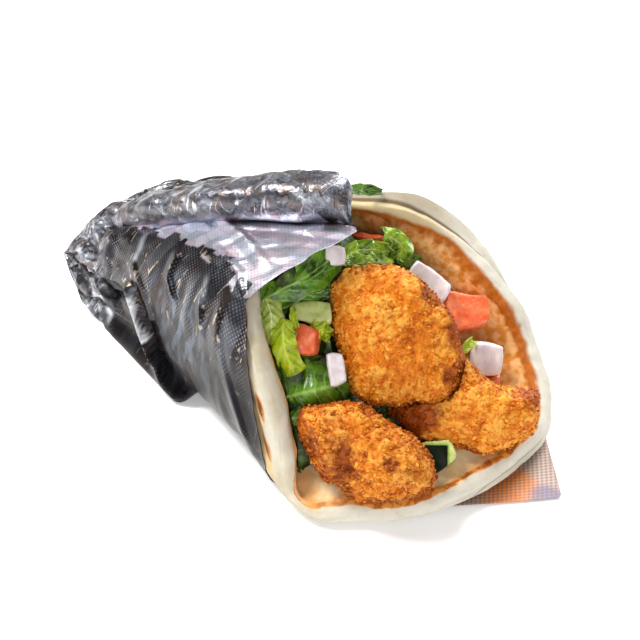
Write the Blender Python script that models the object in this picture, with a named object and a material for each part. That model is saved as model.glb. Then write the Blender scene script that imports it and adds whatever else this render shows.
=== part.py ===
"""A soft flatbread wrap in aluminium foil, lying on its side with its mouth open.

The bread is rolled round a heap of lettuce with diced tomato, onion and cucumber, and three pieces
of crumbed fried shrimp sit in the mouth. The foil is folded shut at the tail, stands up in a
crumpled roll along the top, and ends in one square corner that lies flat in front of the mouth.

The wrap lies along X, with its tail at -X, its mouth at +X and its near side at -Y. A place on its
skin is given by two lengths: x, and the girth, which is the way round the mouth's section from the
top down the near side, across the floor and up the far side. An inset is a depth under that skin.
"""

import math

import bmesh
import bpy
import numpy as np
from mathutils import Euler, Vector, noise

MM = 0.001

# ------------------------------------------------------------------ the wrap's skin, in millimetres
TAIL_X = -58.0
MOUTH_X = 45.0
FLOOR_Z = 1.3
NEAR_WALL_Y = (-40.0, -60.0)        # at the tail and at the mouth
FAR_WALL_Y = (2.0, 35.0)
HALF_HEIGHT = (18.0, 37.7)
CROWN_Z = 60.5
CROWN_SLOPE = 0.2745
CROWN_BEND = -0.00216
TOP_ROUND = 2.8                     # powers of the rounded-square section
NEAR_CORNER = (5.0, 14.0)           # rounder under the foil, sharper at the mouth
NEAR_CORNER_X = (22.0, 52.0)
FAR_CORNER = 3.4

# ------------------------------------------------------------------ bread
BREAD_START = 36.0                  # girth of its two long edges, under the foil
BREAD_END = 263.5
BREAD_TAIL_X = -50.0
BREAD_THICK = 7.6
BREAD_INSET = 0.7
PLY_EXTRA = 2.5                     # the far side parts into two plies
PLY_SHARE = 0.4
PLY_BACK = 2.5
PLY_FROM, PLY_TO = 136.0, 152.0
PLY_FLARE = 3.0                     # the outer ply stands away from the inner one near the top
FLARE_GIRTHS = (206.0, 228.0, 248.0, 262.0)
FLARE_BEHIND = (7.5, 2.5)          # from here to here behind the rim
RIM_ROUND = 3.0
RIM_SHARES = (0, 0.1, 0.2, 0.3, 0.4, 0.5, 0.65, 0.8, 0.93, 1)    # of the thickness, from outside
BREAD_ROWS = (0, 0.3, 0.55, 0.75, 0.9, 1)                        # of the length, from the tail
CREASE_GIRTH = 101.0                # the folded corner between the near wall and the floor
CREASE_WIDTH = 6.0
CREASE_PINCH = 0.6
# (girth, x) of the bread's open edge
BREAD_EDGE = ((36, 17), (44, 23), (50, 28.3), (61, 34.8), (70, 39), (80, 42.5), (91, 46.5), (99, 52),
              (103, 60), (108, 66), (119, 77), (130, 82.3), (142, 85.8), (156, 86.2), (168, 84),
              (181, 76), (193.5, 65), (208.5, 54.5), (222, 43.5), (237.5, 29), (249.5, 22.5), (263.5, 8))

# ------------------------------------------------------------------ foil
FOIL_INNER = -0.4                   # insets of the two faces of the foil's layers
FOIL_OUTER = -1.2
FOIL_CORNER_GIRTH = 154.2
FOIL_TIP = (-78.0, -44.0, 19.0)     # the folded tail's furthest point
FOIL_END_X = -60.0                  # end of the room inside
TAIL_ROWS = 6
TAIL_TAPER = 1.0                    # power of the tail's closing
TAIL_CURL = 2.0                     # power of its curl to the near side
# (girth, x) of the foil's open edge, with its square corner on the floor
FOIL_EDGE = ((2.3, 30.5), (24, 28.8), (34, 25), (43, 22), (50, 27), (60, 30.6), (72, 32.2), (90, 38),
             (98, 47.5), (115, 64), (128, 76), (154.2, 100.5), (164.6, 86.8), (173.5, 76), (196.5, 50),
             (227.5, 27), (249.5, 12), (264.5, 12.5), (273, 19))
# the standing roll on top: (x, girth of its crest, height)
ROLL_CREST = ((-66, 31, 0), (-52, 25, 5), (-40, 21, 8), (-8, 7, 10.5), (4, 0, 11), (32, -3, 9))
ROLL_NEAR_WIDTH = 10.0
ROLL_FAR_WIDTH = 26.0
CREST_FLAT = 0.2                    # share of a fold's width that stands at its full height
OUTER_ROWS = (0, 0.2, 0.4, 0.6, 0.8, 0.93, 1)                    # of the length, from the tail
INNER_ROWS = (1, 0.88, 0.76, 0.6, 0.4, 0.2, 0)
# the crumpled skirt along the near corner of the floor
SKIRT_GIRTH = 98.0
SKIRT_HALF = 8.0
SKIRT_OUT = 6.4
SKIRT_END_X = -9.0

# ------------------------------------------------------------------ filling
GAP = 0.7                           # room left between neighbours
SALAD_TAIL_X = -48.0
TOP_INSET = 1.4
# x of the heap's sloping front: at the floor, and its fall back for each millimetre of height
SALAD_NEAR = (46.0, 0.45, -50.0)    # (x at the floor, slope, y)
SALAD_FAR = (54.0, 1.12, 19.0)
SALAD_BELLY = 10.0                  # how far the heap stands out between them
SALAD_FLOOR_Z = 10.0
SALAD_BUMP = 4.8
BUMP_SIZE = 9.0
BUMP_END = 0.97                     # share of the way out at which the bumps stop fading
SALAD_ROWS = (0, 0.3, 0.55, 0.75, 0.88)                          # of the length, from the tail
SALAD_RINGS = 6
FRONT_STEPS = 12                    # rounds of the search for the sloping front

# crumbed pieces: centre; outline, anticlockwise from the right; depths of the front and the back; and
# swells of the front as (x, y, height, radius). All but the centre are in the pieces' own frame, whose
# x runs across the mouth, y up the heap and z out of the mouth
LEAN = (52, 0, 46)
SHRIMP = {
    "shrimp_top": (
        (47.0, -16.0, 40.0),
        ((20, -1.5), (18, 5), (14, 9), (11.5, 12.5), (7.5, 17), (2, 20), (-3.5, 21), (-10.5, 20.5), (-16, 19),
         (-18, 16), (-18.5, 10), (-17.5, 3), (-15.5, -4.5), (-13.5, -11.5), (-12, -17), (-9.5, -19.5),
         (-4.5, -21), (1.5, -21), (7, -19), (13, -21), (18, -19.5), (20.5, -14.5), (21, -8)),
        (9.5, 8.5),
        ((14, -2, -2.5, 8), (-6, -4, 1, 12))),
    "shrimp_left": (
        (60.5, -41.0, 19.0),
        ((18.5, 0), (15, 4.5), (10, 6.5), (5.5, 9), (-0.5, 14), (-5.5, 15), (-11, 13), (-17, 13.5),
         (-19.5, 12.5), (-20, 6.5), (-17.5, 0), (-13.5, -7), (-9.5, -9), (-5, -10), (-4.5, -12.5), (1, -15),
         (9, -13), (14, -14), (20, -12), (21, -7.5), (20, -4.5)),
        (9.5, 9.0),
        ((8, -5, 3, 9), (-4, -9, -3.5, 3.5), (-5.5, -1, -2.5, 3.5))),
    "shrimp_right": (
        (70.0, -7.5, 20.0),
        ((21, 0), (23, 6), (17.5, 7.5), (13.5, 6), (7.5, 7), (1.5, 12.5), (-1.5, 17), (-4.5, 18), (-8, 15),
         (-14, 9), (-20, 3.5), (-24, 0), (-20.5, -3), (-17, -6), (-11, -8.5), (-3.5, -10), (1.5, -12),
         (9.5, -11.5), (16.5, -8.5), (21, -5.5)),
        (9.5, 9.0),
        ((-14, 1, -2, 8), (19, 4, 1.5, 4))),
}
PIECE_POWER = 2.7                   # power of a piece's rounded rim
CRUMB_HEIGHT = 0.7
CRUMB_SIZE = 5.0

# diced pieces: centre, size, turn in degrees, taper, bend
DICED = {
    "onion_1": ((59.5, 12.5, 22.0), (10.0, 10.5, 5.0), (60, 15, 60), 0.1, 0.12),
    "onion_2": ((37.0, 9.5, 40.0), (14.0, 9.0, 4.0), (55, 25, 30), 0.2, 0.25),
    "onion_3": ((44.0, -36.0, 37.0), (5.0, 9.5, 3.5), (50, 0, 60), 0.1, 0.1),
    "onion_4": ((26.0, -19.0, 59.0), (6.0, 6.0, 3.5), (50, 0, 46), 0.1, 0.1),
    "tomato_1": ((46.0, 16.5, 30.0), (15.0, 12.0, 9.0), (35, 10, 60), 0.25, 0.15),
    "tomato_2": ((31.5, -36.5, 40.5), (9.0, 9.0, 8.0), (50, 0, 30), 0.15, 0.0),
    "tomato_3": ((16.5, 5.0, 50.0), (10.0, 8.0, 4.5), (-37, 0, 0), 0.25, 0.1),
    "tomato_4": ((60.5, 12.5, 14.5), (8.0, 11.0, 6.0), (20, 10, 40), 0.2, 0.0),
    "cucumber_1": ((72.5, -22.0, 14.0), (9.5, 8.5, 6.0), (40, -20, 60), 0.3, 0.2),
    "cucumber_2": ((29.0, -31.0, 46.5), (13.0, 7.0, 4.0), (35, 0, 35), 0.1, 0.1),
}
DICE_ROUND = 7                      # power of a die's rounded corners

# finishes: colour, roughness, metallic
FINISH = {
    "bread": ((0.80, 0.66, 0.42), 0.75, 0.0),
    "foil": ((0.62, 0.60, 0.60), 0.3, 1.0),
    "salad": ((0.20, 0.36, 0.05), 0.5, 0.0),
    "shrimp": ((0.72, 0.33, 0.06), 0.65, 0.0),
    "tomato": ((0.80, 0.16, 0.06), 0.3, 0.0),
    "onion": ((0.78, 0.66, 0.66), 0.3, 0.0),
    "cucumber": ((0.35, 0.45, 0.14), 0.35, 0.0),
}


# ------------------------------------------------------------------ the skin's geometry
def straight(pair, x):
    """Value at x of a size that runs straight from the tail to the mouth."""
    share = (x - TAIL_X) / (MOUTH_X - TAIL_X)
    return pair[0] + share * (pair[1] - pair[0])


def ease(value, start, end):
    """Smooth step from 0 at start to 1 at end."""
    t = min(max((value - start) / (end - start), 0.0), 1.0)
    return t * t * (3 - 2 * t)


def section_sizes(x, inset):
    """Middle y, middle z, half width, height above and height below the middle at x."""
    near, far = straight(NEAR_WALL_Y, x), straight(FAR_WALL_Y, x)
    middle = FLOOR_Z + straight(HALF_HEIGHT, x)
    above = CROWN_Z + CROWN_SLOPE * x + CROWN_BEND * x * x - middle
    below = middle - FLOOR_Z
    return (near + far) / 2, middle, (far - near) / 2 - inset, above - inset, below - inset


def corner_power(across, up, x):
    """Power of the rounded square at x, in the quarter that a direction points to."""
    if up >= 0:
        return TOP_ROUND
    sharper = ease(x, *NEAR_CORNER_X)
    return NEAR_CORNER[0] + sharper * (NEAR_CORNER[1] - NEAR_CORNER[0]) if across < 0 else FAR_CORNER


def section_point(angle, x, inset=0.0):
    """Point of the skin at an angle round the axis: 0 is far, a quarter turn is the top."""
    middle_y, middle_z, half, above, below = section_sizes(x, inset)
    across, up = math.cos(angle), math.sin(angle)
    power = corner_power(across, up, x)
    reach = (abs(across) ** power + abs(up) ** power) ** (-1 / power)
    height = above if up >= 0 else below
    return Vector((x, middle_y + half * across * reach, middle_z + height * up * reach))


def girth_table(steps=1440):
    """Angles from the top round the mouth's section, and the length walked to each."""
    angles = [math.radians(90 + 360 * i / steps) for i in range(steps + 1)]
    points = [section_point(angle, MOUTH_X) for angle in angles]
    walked = [0.0]
    for start, end in zip(points, points[1:]):
        walked.append(walked[-1] + (end - start).length)
    return angles, walked


ANGLES, WALKED = girth_table()
GIRTH = WALKED[-1]


def skin_point(girth, x, inset=0.0):
    """Point at a girth and x, at a depth under the skin."""
    return section_point(float(np.interp(girth % GIRTH, WALKED, ANGLES)), x, inset)


def girth_of(point):
    """Girth at which a point lies under the skin."""
    middle_y, middle_z, half, above, below = section_sizes(point.x, 0)
    up = point.z - middle_z
    angle = math.atan2(up / (above if up >= 0 else below), (point.y - middle_y) / half) % math.tau
    return float(np.interp(angle if angle >= ANGLES[0] else angle + math.tau, ANGLES, WALKED))


def hold_inside(point, grow):
    """The point, moved towards the axis until it lies in the room for the filling."""
    inset = room_inset(girth_of(point)) - grow
    middle_y, middle_z, half, above, below = section_sizes(point.x, inset)
    across, up = point.y - middle_y, point.z - middle_z
    power = corner_power(across, up, point.x)
    fill = (abs(across) / half) ** power + (abs(up) / (above if up >= 0 else below)) ** power
    if fill <= 1:
        return point
    shrink = fill ** (-1 / power)
    return Vector((point.x, middle_y + across * shrink, middle_z + up * shrink))


def girth_stations():
    """Girths at which every shell has a row of points, closest at the folded corner."""
    stretches = ((0, BREAD_START, 5), (BREAD_START, 92, 9), (92, 112, 7), (112, FOIL_CORNER_GIRTH, 7),
                 (FOIL_CORNER_GIRTH, BREAD_END, 18), (BREAD_END, GIRTH, 3))
    stations = []
    for start, end, count in stretches:
        stations += [start + (end - start) * i / count for i in range(count)]
    return stations


def edge_x(points, girth):
    """x of an open edge at a girth, straight between its points and closed round the wrap."""
    girths = [points[-1][0] - GIRTH] + [g for g, _ in points] + [points[0][0] + GIRTH]
    places = [points[-1][1]] + [x for _, x in points] + [points[0][1]]
    return float(np.interp(girth % GIRTH, girths, places))


def smooth_x(points, girth):
    """x of an open edge at a girth, on a smooth curve through its points."""
    girths, places = zip(*points)
    slopes = np.gradient(places, girths)
    i = int(np.clip(np.searchsorted(girths, girth) - 1, 0, len(points) - 2))
    width = girths[i + 1] - girths[i]
    t = (girth - girths[i]) / width
    start = (1 + 2 * t) * (1 - t) ** 2 * places[i] + t * (1 - t) ** 2 * width * slopes[i]
    end = t * t * (3 - 2 * t) * places[i + 1] + t * t * (t - 1) * width * slopes[i + 1]
    return float(start + end)


# ------------------------------------------------------------------ objects
def make_material(name):
    """Principled material of one finish."""
    colour, roughness, metallic = FINISH[name]
    material = bpy.data.materials.new(name)
    material.use_nodes = True
    shader = material.node_tree.nodes["Principled BSDF"]
    shader.inputs["Base Color"].default_value = (*colour, 1.0)
    shader.inputs["Roughness"].default_value = roughness
    shader.inputs["Metallic"].default_value = metallic
    return material


def make_object(name, mesh_builder, material, parent, smooth_angle=40):
    """Object made from a bmesh in millimetres, parented to the wrap's empty."""
    mesh = bpy.data.meshes.new(name)
    bmesh.ops.recalc_face_normals(mesh_builder, faces=mesh_builder.faces)
    if mesh_builder.calc_volume(signed=True) < 0:
        bmesh.ops.reverse_faces(mesh_builder, faces=mesh_builder.faces)
    bmesh.ops.scale(mesh_builder, vec=(MM, MM, MM), verts=mesh_builder.verts)
    mesh_builder.to_mesh(mesh)
    mesh_builder.free()
    mesh.shade_smooth()
    mesh.set_sharp_from_angle(angle=math.radians(smooth_angle))
    mesh.materials.append(material)
    thing = bpy.data.objects.new(name, mesh)
    bpy.context.collection.objects.link(thing)
    thing.parent = parent
    return thing


def add_ring(shell, points):
    """Vertices of one row of points."""
    return [shell.verts.new(point) for point in points]


def join_rows(shell, row_a, row_b, closed):
    """Quads between two rows of equally many vertices."""
    count = len(row_a)
    for i in range(count if closed else count - 1):
        j = (i + 1) % count
        shell.faces.new((row_a[i], row_a[j], row_b[j], row_b[i]))


def fan(shell, row, point):
    """Triangles from a closed row to one point."""
    tip = shell.verts.new(point)
    for i, vert in enumerate(row):
        shell.faces.new((vert, row[(i + 1) % len(row)], tip))


# ------------------------------------------------------------------ bread
def ply_split(girth):
    """0 where the bread is one ply thick, 1 where its far side parts into two."""
    return ease(girth, PLY_FROM, PLY_TO)


def bread_thickness(girth):
    """Thickness of the bread, thinner where it is creased."""
    pinch = CREASE_PINCH * math.exp(-((girth - CREASE_GIRTH) / CREASE_WIDTH) ** 2)
    return (BREAD_THICK + PLY_EXTRA * ply_split(girth)) * (1 - pinch)


def rim_setback(share, split):
    """How far the rim lies behind its front line, at a share of the thickness from outside."""
    one_nose = RIM_ROUND * abs(2 * share - 1) ** 3
    if share <= PLY_SHARE:
        two_noses = PLY_BACK + RIM_ROUND * abs(2 * share / PLY_SHARE - 1) ** 3
    else:
        two_noses = RIM_ROUND * abs(2 * (share - PLY_SHARE) / (1 - PLY_SHARE) - 1) ** 3
    return one_nose + split * (two_noses - one_nose)


def room_inset(girth):
    """Depth of the filling's room: inside the bread, or close under the foil between its edges."""
    if BREAD_START - GAP <= girth <= BREAD_END + GAP:
        return BREAD_INSET + bread_thickness(girth) + GAP
    return TOP_INSET


def ply_flare(girth, behind, share):
    """How far the outer ply stands out, at a length behind the rim and a share of the thickness."""
    start, full, fading, end = FLARE_GIRTHS
    round_wrap = ease(girth, start, full) * (1 - ease(girth, fading, end))
    near_rim = 1 - ease(behind, FLARE_BEHIND[1], FLARE_BEHIND[0])
    return PLY_FLARE * round_wrap * near_rim * max(1 - share / PLY_SHARE, 0)


def bread_ring(girth):
    """Closed ring at one girth: out along the outer face, round the rim and back inside."""
    front = smooth_x(BREAD_EDGE, girth)
    thick = bread_thickness(girth)
    split = ply_split(girth)
    length = front - FLARE_BEHIND[0] - BREAD_TAIL_X
    places = [BREAD_TAIL_X + row * length for row in BREAD_ROWS]
    ring = [(x, 0.0) for x in places]
    for share in RIM_SHARES:
        back = rim_setback(share, split)
        ring.append((front - back, thick * share - ply_flare(girth, back, share)))
    ring += [(x, thick) for x in reversed(places)]
    return [skin_point(girth, x, BREAD_INSET + depth) for x, depth in ring]


def build_bread(material, parent):
    """The flatbread, open along the top and at the mouth."""
    shell = bmesh.new()
    girths = [g for g in girth_stations() if BREAD_START <= g <= BREAD_END]
    rows = [add_ring(shell, bread_ring(girth)) for girth in girths]
    for row_a, row_b in zip(rows, rows[1:]):
        join_rows(shell, row_a, row_b, closed=True)
    for row in (rows[0], rows[-1]):
        for i in range(len(row) // 2 - 1):
            shell.faces.new((row[i], row[i + 1], row[-2 - i], row[-1 - i]))
    return make_object("bread", shell, material, parent, smooth_angle=50)


# ------------------------------------------------------------------ foil
def roll_height(girth, x):
    """Height of the standing roll over the skin."""
    xs, crests, heights = zip(*ROLL_CREST)
    crest, height = float(np.interp(x, xs, crests)), float(np.interp(x, xs, heights))
    away = (girth - crest + GIRTH / 2) % GIRTH - GIRTH / 2
    width = ROLL_NEAR_WIDTH if away > 0 else ROLL_FAR_WIDTH
    return height * (1 - ease(abs(away), width * CREST_FLAT, width))


def skirt_width(girth, x):
    """How far the crumpled skirt stands out from the near corner of the floor."""
    along = 1 - ease(x, TAIL_X, SKIRT_END_X)
    return SKIRT_OUT * along * (1 - ease(abs(girth - SKIRT_GIRTH), SKIRT_HALF * CREST_FLAT, SKIRT_HALF))


def tail_point(girth, share):
    """Point of the closed tail, from its open end at share 0, curling to its tip at share 1."""
    middle_y, middle_z, *_ = section_sizes(TAIL_X, 0)
    middle = Vector((TAIL_X, middle_y, middle_z))
    reach = Vector(FOIL_TIP) - middle
    centre = middle + Vector((reach.x * share, reach.y * share ** TAIL_CURL, reach.z * share))
    point = centre + (foil_point(girth, TAIL_X) - middle) * (1 - share * share) ** TAIL_TAPER
    return Vector((point.x, point.y, max(point.z, FLOOR_Z + FOIL_OUTER)))


def foil_point(girth, x):
    """Point of the foil's outer face, with its roll and its skirt."""
    out = roll_height(girth, x) + skirt_width(girth, x)
    point = skin_point(girth, x, FOIL_OUTER - out)
    return Vector((point.x, point.y, max(point.z, FLOOR_Z + FOIL_OUTER)))


def build_foil(material, parent):
    """The foil: an outer and an inner face, joined along the open edge."""
    shell = bmesh.new()
    girths = girth_stations()
    rows = []
    for i in range(1, TAIL_ROWS):
        rows.append(add_ring(shell, [tail_point(g, 1 - i / TAIL_ROWS) for g in girths]))
    fan(shell, rows[0], FOIL_TIP)
    for share in OUTER_ROWS:
        places = [TAIL_X + share * (edge_x(FOIL_EDGE, g) - TAIL_X) for g in girths]
        rows.append(add_ring(shell, [foil_point(g, x) for g, x in zip(girths, places)]))
    for share in INNER_ROWS:
        places = [FOIL_END_X + share * (edge_x(FOIL_EDGE, g) - FOIL_END_X) for g in girths]
        rows.append(add_ring(shell, [skin_point(g, x, FOIL_INNER) for g, x in zip(girths, places)]))
    for row_a, row_b in zip(rows, rows[1:]):
        join_rows(shell, row_a, row_b, closed=True)
    middle_y, middle_z, *_ = section_sizes(FOIL_END_X, 0)
    fan(shell, rows[-1], (FOIL_END_X, middle_y, middle_z))
    return make_object("foil", shell, material, parent)


# ------------------------------------------------------------------ filling
def turned(degrees):
    """Rotation matrix of three turns in degrees."""
    return Euler([math.radians(angle) for angle in degrees]).to_matrix()


def piece_point(direction, outline, depths, swells, grow):
    """Point of a crumbed piece's skin in a direction from its centre, in the piece's own frame."""
    angles = [math.atan2(y, x) for x, y in outline]
    reaches = [math.hypot(x, y) for x, y in outline]
    angle = math.atan2(direction.y, direction.x)
    reach = float(np.interp(angle, angles, reaches, period=math.tau)) + grow
    depth = depths[0 if direction.z >= 0 else 1] + grow
    flat = math.hypot(direction.x, direction.y) / reach
    point = direction * (flat ** PIECE_POWER + (abs(direction.z) / depth) ** PIECE_POWER) ** (-1 / PIECE_POWER)
    if point.z > 0:
        for x, y, height, radius in swells:
            away = math.hypot(point.x - x, point.y - y) / radius
            point.z += height * math.exp(-away * away) * point.z / depth
    return point


def shrimp_mesh(name, grow):
    """Crumbed piece with its outline, rounded rim and lumpy skin, held inside the bread."""
    centre, *shape = SHRIMP[name]
    lean = turned(LEAN)
    body = bmesh.new()
    bmesh.ops.create_icosphere(body, subdivisions=3, radius=1)
    for vert in body.verts:
        direction = vert.co.normalized()
        point = Vector(centre) + lean @ piece_point(direction, *shape, grow)
        point += lean @ direction * CRUMB_HEIGHT * noise.noise(point / CRUMB_SIZE)
        vert.co = hold_inside(point, grow)
    return body


def diced_mesh(name, grow):
    """Rounded die or slice, tapered and bent."""
    centre, size, turn, taper, bend = DICED[name]
    spin = turned(turn)
    body = bmesh.new()
    bmesh.ops.create_cube(body, size=2)
    bmesh.ops.subdivide_edges(body, edges=body.edges[:], cuts=2, use_grid_fill=True)
    for vert in body.verts:
        place = vert.co / sum(abs(c) ** DICE_ROUND for c in vert.co) ** (1 / DICE_ROUND)
        place.y *= 1 - taper * place.x
        half = Vector([place[i] * (size[i] / 2 + grow) for i in range(3)])
        half.z += bend * size[0] * (place.x * place.x - 0.5)
        vert.co = hold_inside(Vector(centre) + spin @ half, grow)
    return body


def salad_front(point):
    """x of the heap's sloping front at a point's y and z."""
    near_x, near_slope, near_y = SALAD_NEAR
    far_x, far_slope, far_y = SALAD_FAR
    height = point.z - SALAD_FLOOR_Z
    share = min(max((point.y - near_y) / (far_y - near_y), 0.0), 1.0)
    belly = SALAD_BELLY * 4 * share * (1 - share)
    return (near_x - near_slope * height) * (1 - share) + (far_x - far_slope * height) * share + belly


def salad_girths():
    """Girths of the heap's rows, with a step down at each long edge of the bread."""
    steps = [BREAD_START - 3 * GAP, BREAD_START - GAP, BREAD_END + GAP, BREAD_END + 3 * GAP]
    return sorted([g for g in girth_stations() if g not in (BREAD_START, BREAD_END)] + steps)


def front_ring(girths, share):
    """Row on the heap's front, at a share of the way from its axis to its side."""
    ring = []
    for girth in girths:
        x = MOUTH_X
        for _ in range(FRONT_STEPS):
            side = skin_point(girth, x, room_inset(girth))
            middle_y, middle_z, *_ = section_sizes(x, 0)
            point = Vector((x, middle_y, middle_z)).lerp(side, share)
            x = salad_front(point)
        bump = SALAD_BUMP * noise.noise(point / BUMP_SIZE) * math.sin(math.pi * min(share, BUMP_END))
        ring.append(Vector((x + bump, point.y, point.z)))
    return ring


def build_salad(material, parent):
    """The heap of leaves and dice as one body, out to its uneven sloping front."""
    heap = bmesh.new()
    girths = salad_girths()
    front = front_ring(girths, 1)
    rows = []
    for share in SALAD_ROWS:
        places = [SALAD_TAIL_X + share * (point.x - SALAD_TAIL_X) for point in front]
        rows.append(add_ring(heap, [skin_point(g, x, room_inset(g)) for g, x in zip(girths, places)]))
    rows.append(add_ring(heap, front))
    for i in range(1, SALAD_RINGS):
        rows.append(add_ring(heap, front_ring(girths, 1 - i / SALAD_RINGS)))
    for row_a, row_b in zip(rows, rows[1:]):
        join_rows(heap, row_a, row_b, closed=True)
    middle_y, middle_z, *_ = section_sizes(SALAD_TAIL_X, 0)
    fan(heap, rows[0], (SALAD_TAIL_X, middle_y, middle_z))
    fan(heap, rows[-1], front_ring([0], 0)[0])
    return make_object("salad", heap, material, parent, smooth_angle=60)


def make_cutter(name, mesh_builder, material, parent):
    """Hidden body, a gap larger than a piece, that clears its neighbours."""
    cutter = make_object(name + "_room", mesh_builder, material, parent)
    cutter.hide_render = True
    cutter.display_type = "WIRE"
    return cutter


def clear_of(thing, cutters):
    """Cut a piece back where its neighbours press into it."""
    for cutter in cutters:
        cut = thing.modifiers.new(cutter.name, "BOOLEAN")
        cut.operation = "DIFFERENCE"
        cut.solver = "EXACT"
        cut.object = cutter


def build_filling(materials, parent):
    """The crumbed pieces, the dice and the heap, each cut clear of those in front of it."""
    cutters = []
    for names, mesh_of in ((SHRIMP, shrimp_mesh), (DICED, diced_mesh)):
        for name in names:
            material = materials[name.split("_")[0]]
            thing = make_object(name, mesh_of(name, 0.0), material, parent)
            clear_of(thing, cutters)
            cutters.append(make_cutter(name, mesh_of(name, GAP), material, parent))
    clear_of(build_salad(materials["salad"], parent), cutters)


# ------------------------------------------------------------------ the whole wrap
def stand_on_origin(empty):
    """Move the wrap so that the middle of its underside is at the origin."""
    corners = [thing.matrix_world @ Vector(corner) for thing in empty.children if not thing.hide_render
               for corner in thing.bound_box]
    lows = [min(corner[i] for corner in corners) for i in range(3)]
    highs = [max(corner[i] for corner in corners) for i in range(3)]
    empty.location = (-(lows[0] + highs[0]) / 2, -(lows[1] + highs[1]) / 2, -lows[2])


def main():
    """Build the wrap from its bread outwards and inwards."""
    for thing in list(bpy.data.objects):
        bpy.data.objects.remove(thing)
    wrap = bpy.data.objects.new("wrap", None)
    bpy.context.collection.objects.link(wrap)
    materials = {name: make_material(name) for name in FINISH}
    build_bread(materials["bread"], wrap)
    build_foil(materials["foil"], wrap)
    build_filling(materials, wrap)
    bpy.context.view_layer.update()
    stand_on_origin(wrap)


main()
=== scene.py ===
"""Looks of a shrimp flatbread wrap in foil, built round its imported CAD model.

The bread, the foil, the crumbed shrimp pieces and the diced vegetables are modelled in the places
that their CAD solids hold, the salad's solid becomes a core with separate leaves over it, and every
piece gets a procedural finish. A place on the wrap's skin is a girth (the way round the mouth's
section, from the top down the near side, across the floor and up the far side), an x and an inset
under the skin. Sizes are in millimetres in the wrap's own layout, and meshes in metres in the CAD
model's frame.
"""

import logging
import math
from collections.abc import Iterator, Sequence
from contextlib import contextmanager
from dataclasses import dataclass
from enum import Enum
from functools import cached_property

import bpy
import numpy as np
from mathutils import Matrix, Vector, noise


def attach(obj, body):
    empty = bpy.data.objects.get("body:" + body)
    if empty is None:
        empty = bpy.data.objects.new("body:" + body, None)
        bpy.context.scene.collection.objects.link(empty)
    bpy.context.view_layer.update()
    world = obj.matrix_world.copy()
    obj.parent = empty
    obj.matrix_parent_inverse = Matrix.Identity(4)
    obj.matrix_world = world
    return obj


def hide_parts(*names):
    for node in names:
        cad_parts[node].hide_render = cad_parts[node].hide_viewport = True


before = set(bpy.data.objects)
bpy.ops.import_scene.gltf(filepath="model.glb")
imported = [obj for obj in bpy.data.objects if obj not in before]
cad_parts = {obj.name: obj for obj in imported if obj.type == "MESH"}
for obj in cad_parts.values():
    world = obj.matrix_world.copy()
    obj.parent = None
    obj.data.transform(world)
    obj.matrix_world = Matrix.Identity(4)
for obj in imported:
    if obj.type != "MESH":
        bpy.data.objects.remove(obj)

MM = 0.001
WELD = 0.01 * MM
BODY = "root"
LOG = logging.getLogger("wrap")

Array = np.ndarray
Pair = tuple[float, float]
Triple = tuple[float, float, float]
Span = tuple[float, float, float, float]
Colour = tuple[float, float, float, float]

# Directions in the layout, as seen by the camera at the photograph's angle.
TO_CAMERA: Triple = (0.567, -0.547, 0.616)
FROM_CAMERA: Triple = (-0.567, 0.547, -0.616)
VIEW_LEFT: Triple = (-0.695, -0.719, 0.0)
VIEW_DOWN: Triple = (0.443, -0.428, -0.788)


# ------------------------------------------------------------------ numbers
def srgb(red: float, green: float, blue: float) -> Colour:
    """Linear colour of an sRGB one.

    Args:
        red: Red from 0 to 255.
        green: Green from 0 to 255.
        blue: Blue from 0 to 255.

    Returns:
        The colour as Blender's shaders take it, opaque.
    """
    parts = [c / 255 for c in (red, green, blue)]
    linear = [c / 12.92 if c <= 0.04045 else ((c + 0.055) / 1.055) ** 2.4 for c in parts]
    return linear[0], linear[1], linear[2], 1.0


def ease(value: Array | float, start: float, end: float) -> Array:
    """Smooth step of values from 0 at start to 1 at end, which may lie below start."""
    t = np.clip((np.asarray(value, float) - start) / (end - start), 0.0, 1.0)
    return t * t * (3 - 2 * t)


def within(value: Array, span: Span) -> Array:
    """Smooth window that opens between the span's first two values and shuts between its last two."""
    return ease(value, span[0], span[1]) * (1 - ease(value, span[2], span[3]))


def bell(value: Array, middle: float, half: float) -> Array:
    """Bell curve of values, 1 at its middle and fading out past its half width."""
    return np.exp(-(((value - middle) / half) ** 2))


def hump(points: Array, centre: Triple, radius: float) -> Array:
    """Round hump at places, 1 at its centre and fading out past its radius."""
    return bell(np.linalg.norm(points - centre, axis=1), 0.0, radius)


def rough(points: Array, size: float, seed: float = 0.0) -> Array:
    """Smooth noise from about -1 to 1 at places in millimetres, with swells of a size; the seed shifts it."""
    return np.array([noise.noise(Vector(p)) for p in points / size + seed])


def rough_along(line: Array, size: float, seed: float) -> Array:
    """Smooth noise from about -1 to 1 at distances along a line."""
    return rough(np.stack([line, line * 0, line * 0], -1), size, seed)


def lumps(points: Array, size: float, seed: float = 0.0) -> Array:
    """Round grains of a size side by side: 1 at the top of each, 0 where they meet; the seed shifts them."""
    near = np.array([noise.voronoi(Vector(p))[0][0] for p in points / size + seed])
    return 1 - np.minimum(near, 1.0) ** 2


def smooth_through(marks: Sequence[Pair], where: Array) -> Array:
    """Smooth curve through marks, as (place, value) in rising order of place.

    Args:
        marks: The curve's marks.
        where: Places at which it is read.

    Returns:
        The curve's values.
    """
    places, values = (np.array(part, float) for part in zip(*marks))
    slopes = np.gradient(values, places)
    i = np.clip(np.searchsorted(places, where) - 1, 0, len(places) - 2)
    width = places[i + 1] - places[i]
    t = (where - places[i]) / width
    start = (1 + 2 * t) * (1 - t) ** 2 * values[i] + t * (1 - t) ** 2 * width * slopes[i]
    end = t * t * (3 - 2 * t) * values[i + 1] + t * t * (t - 1) * width * slopes[i + 1]
    return start + end


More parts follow.
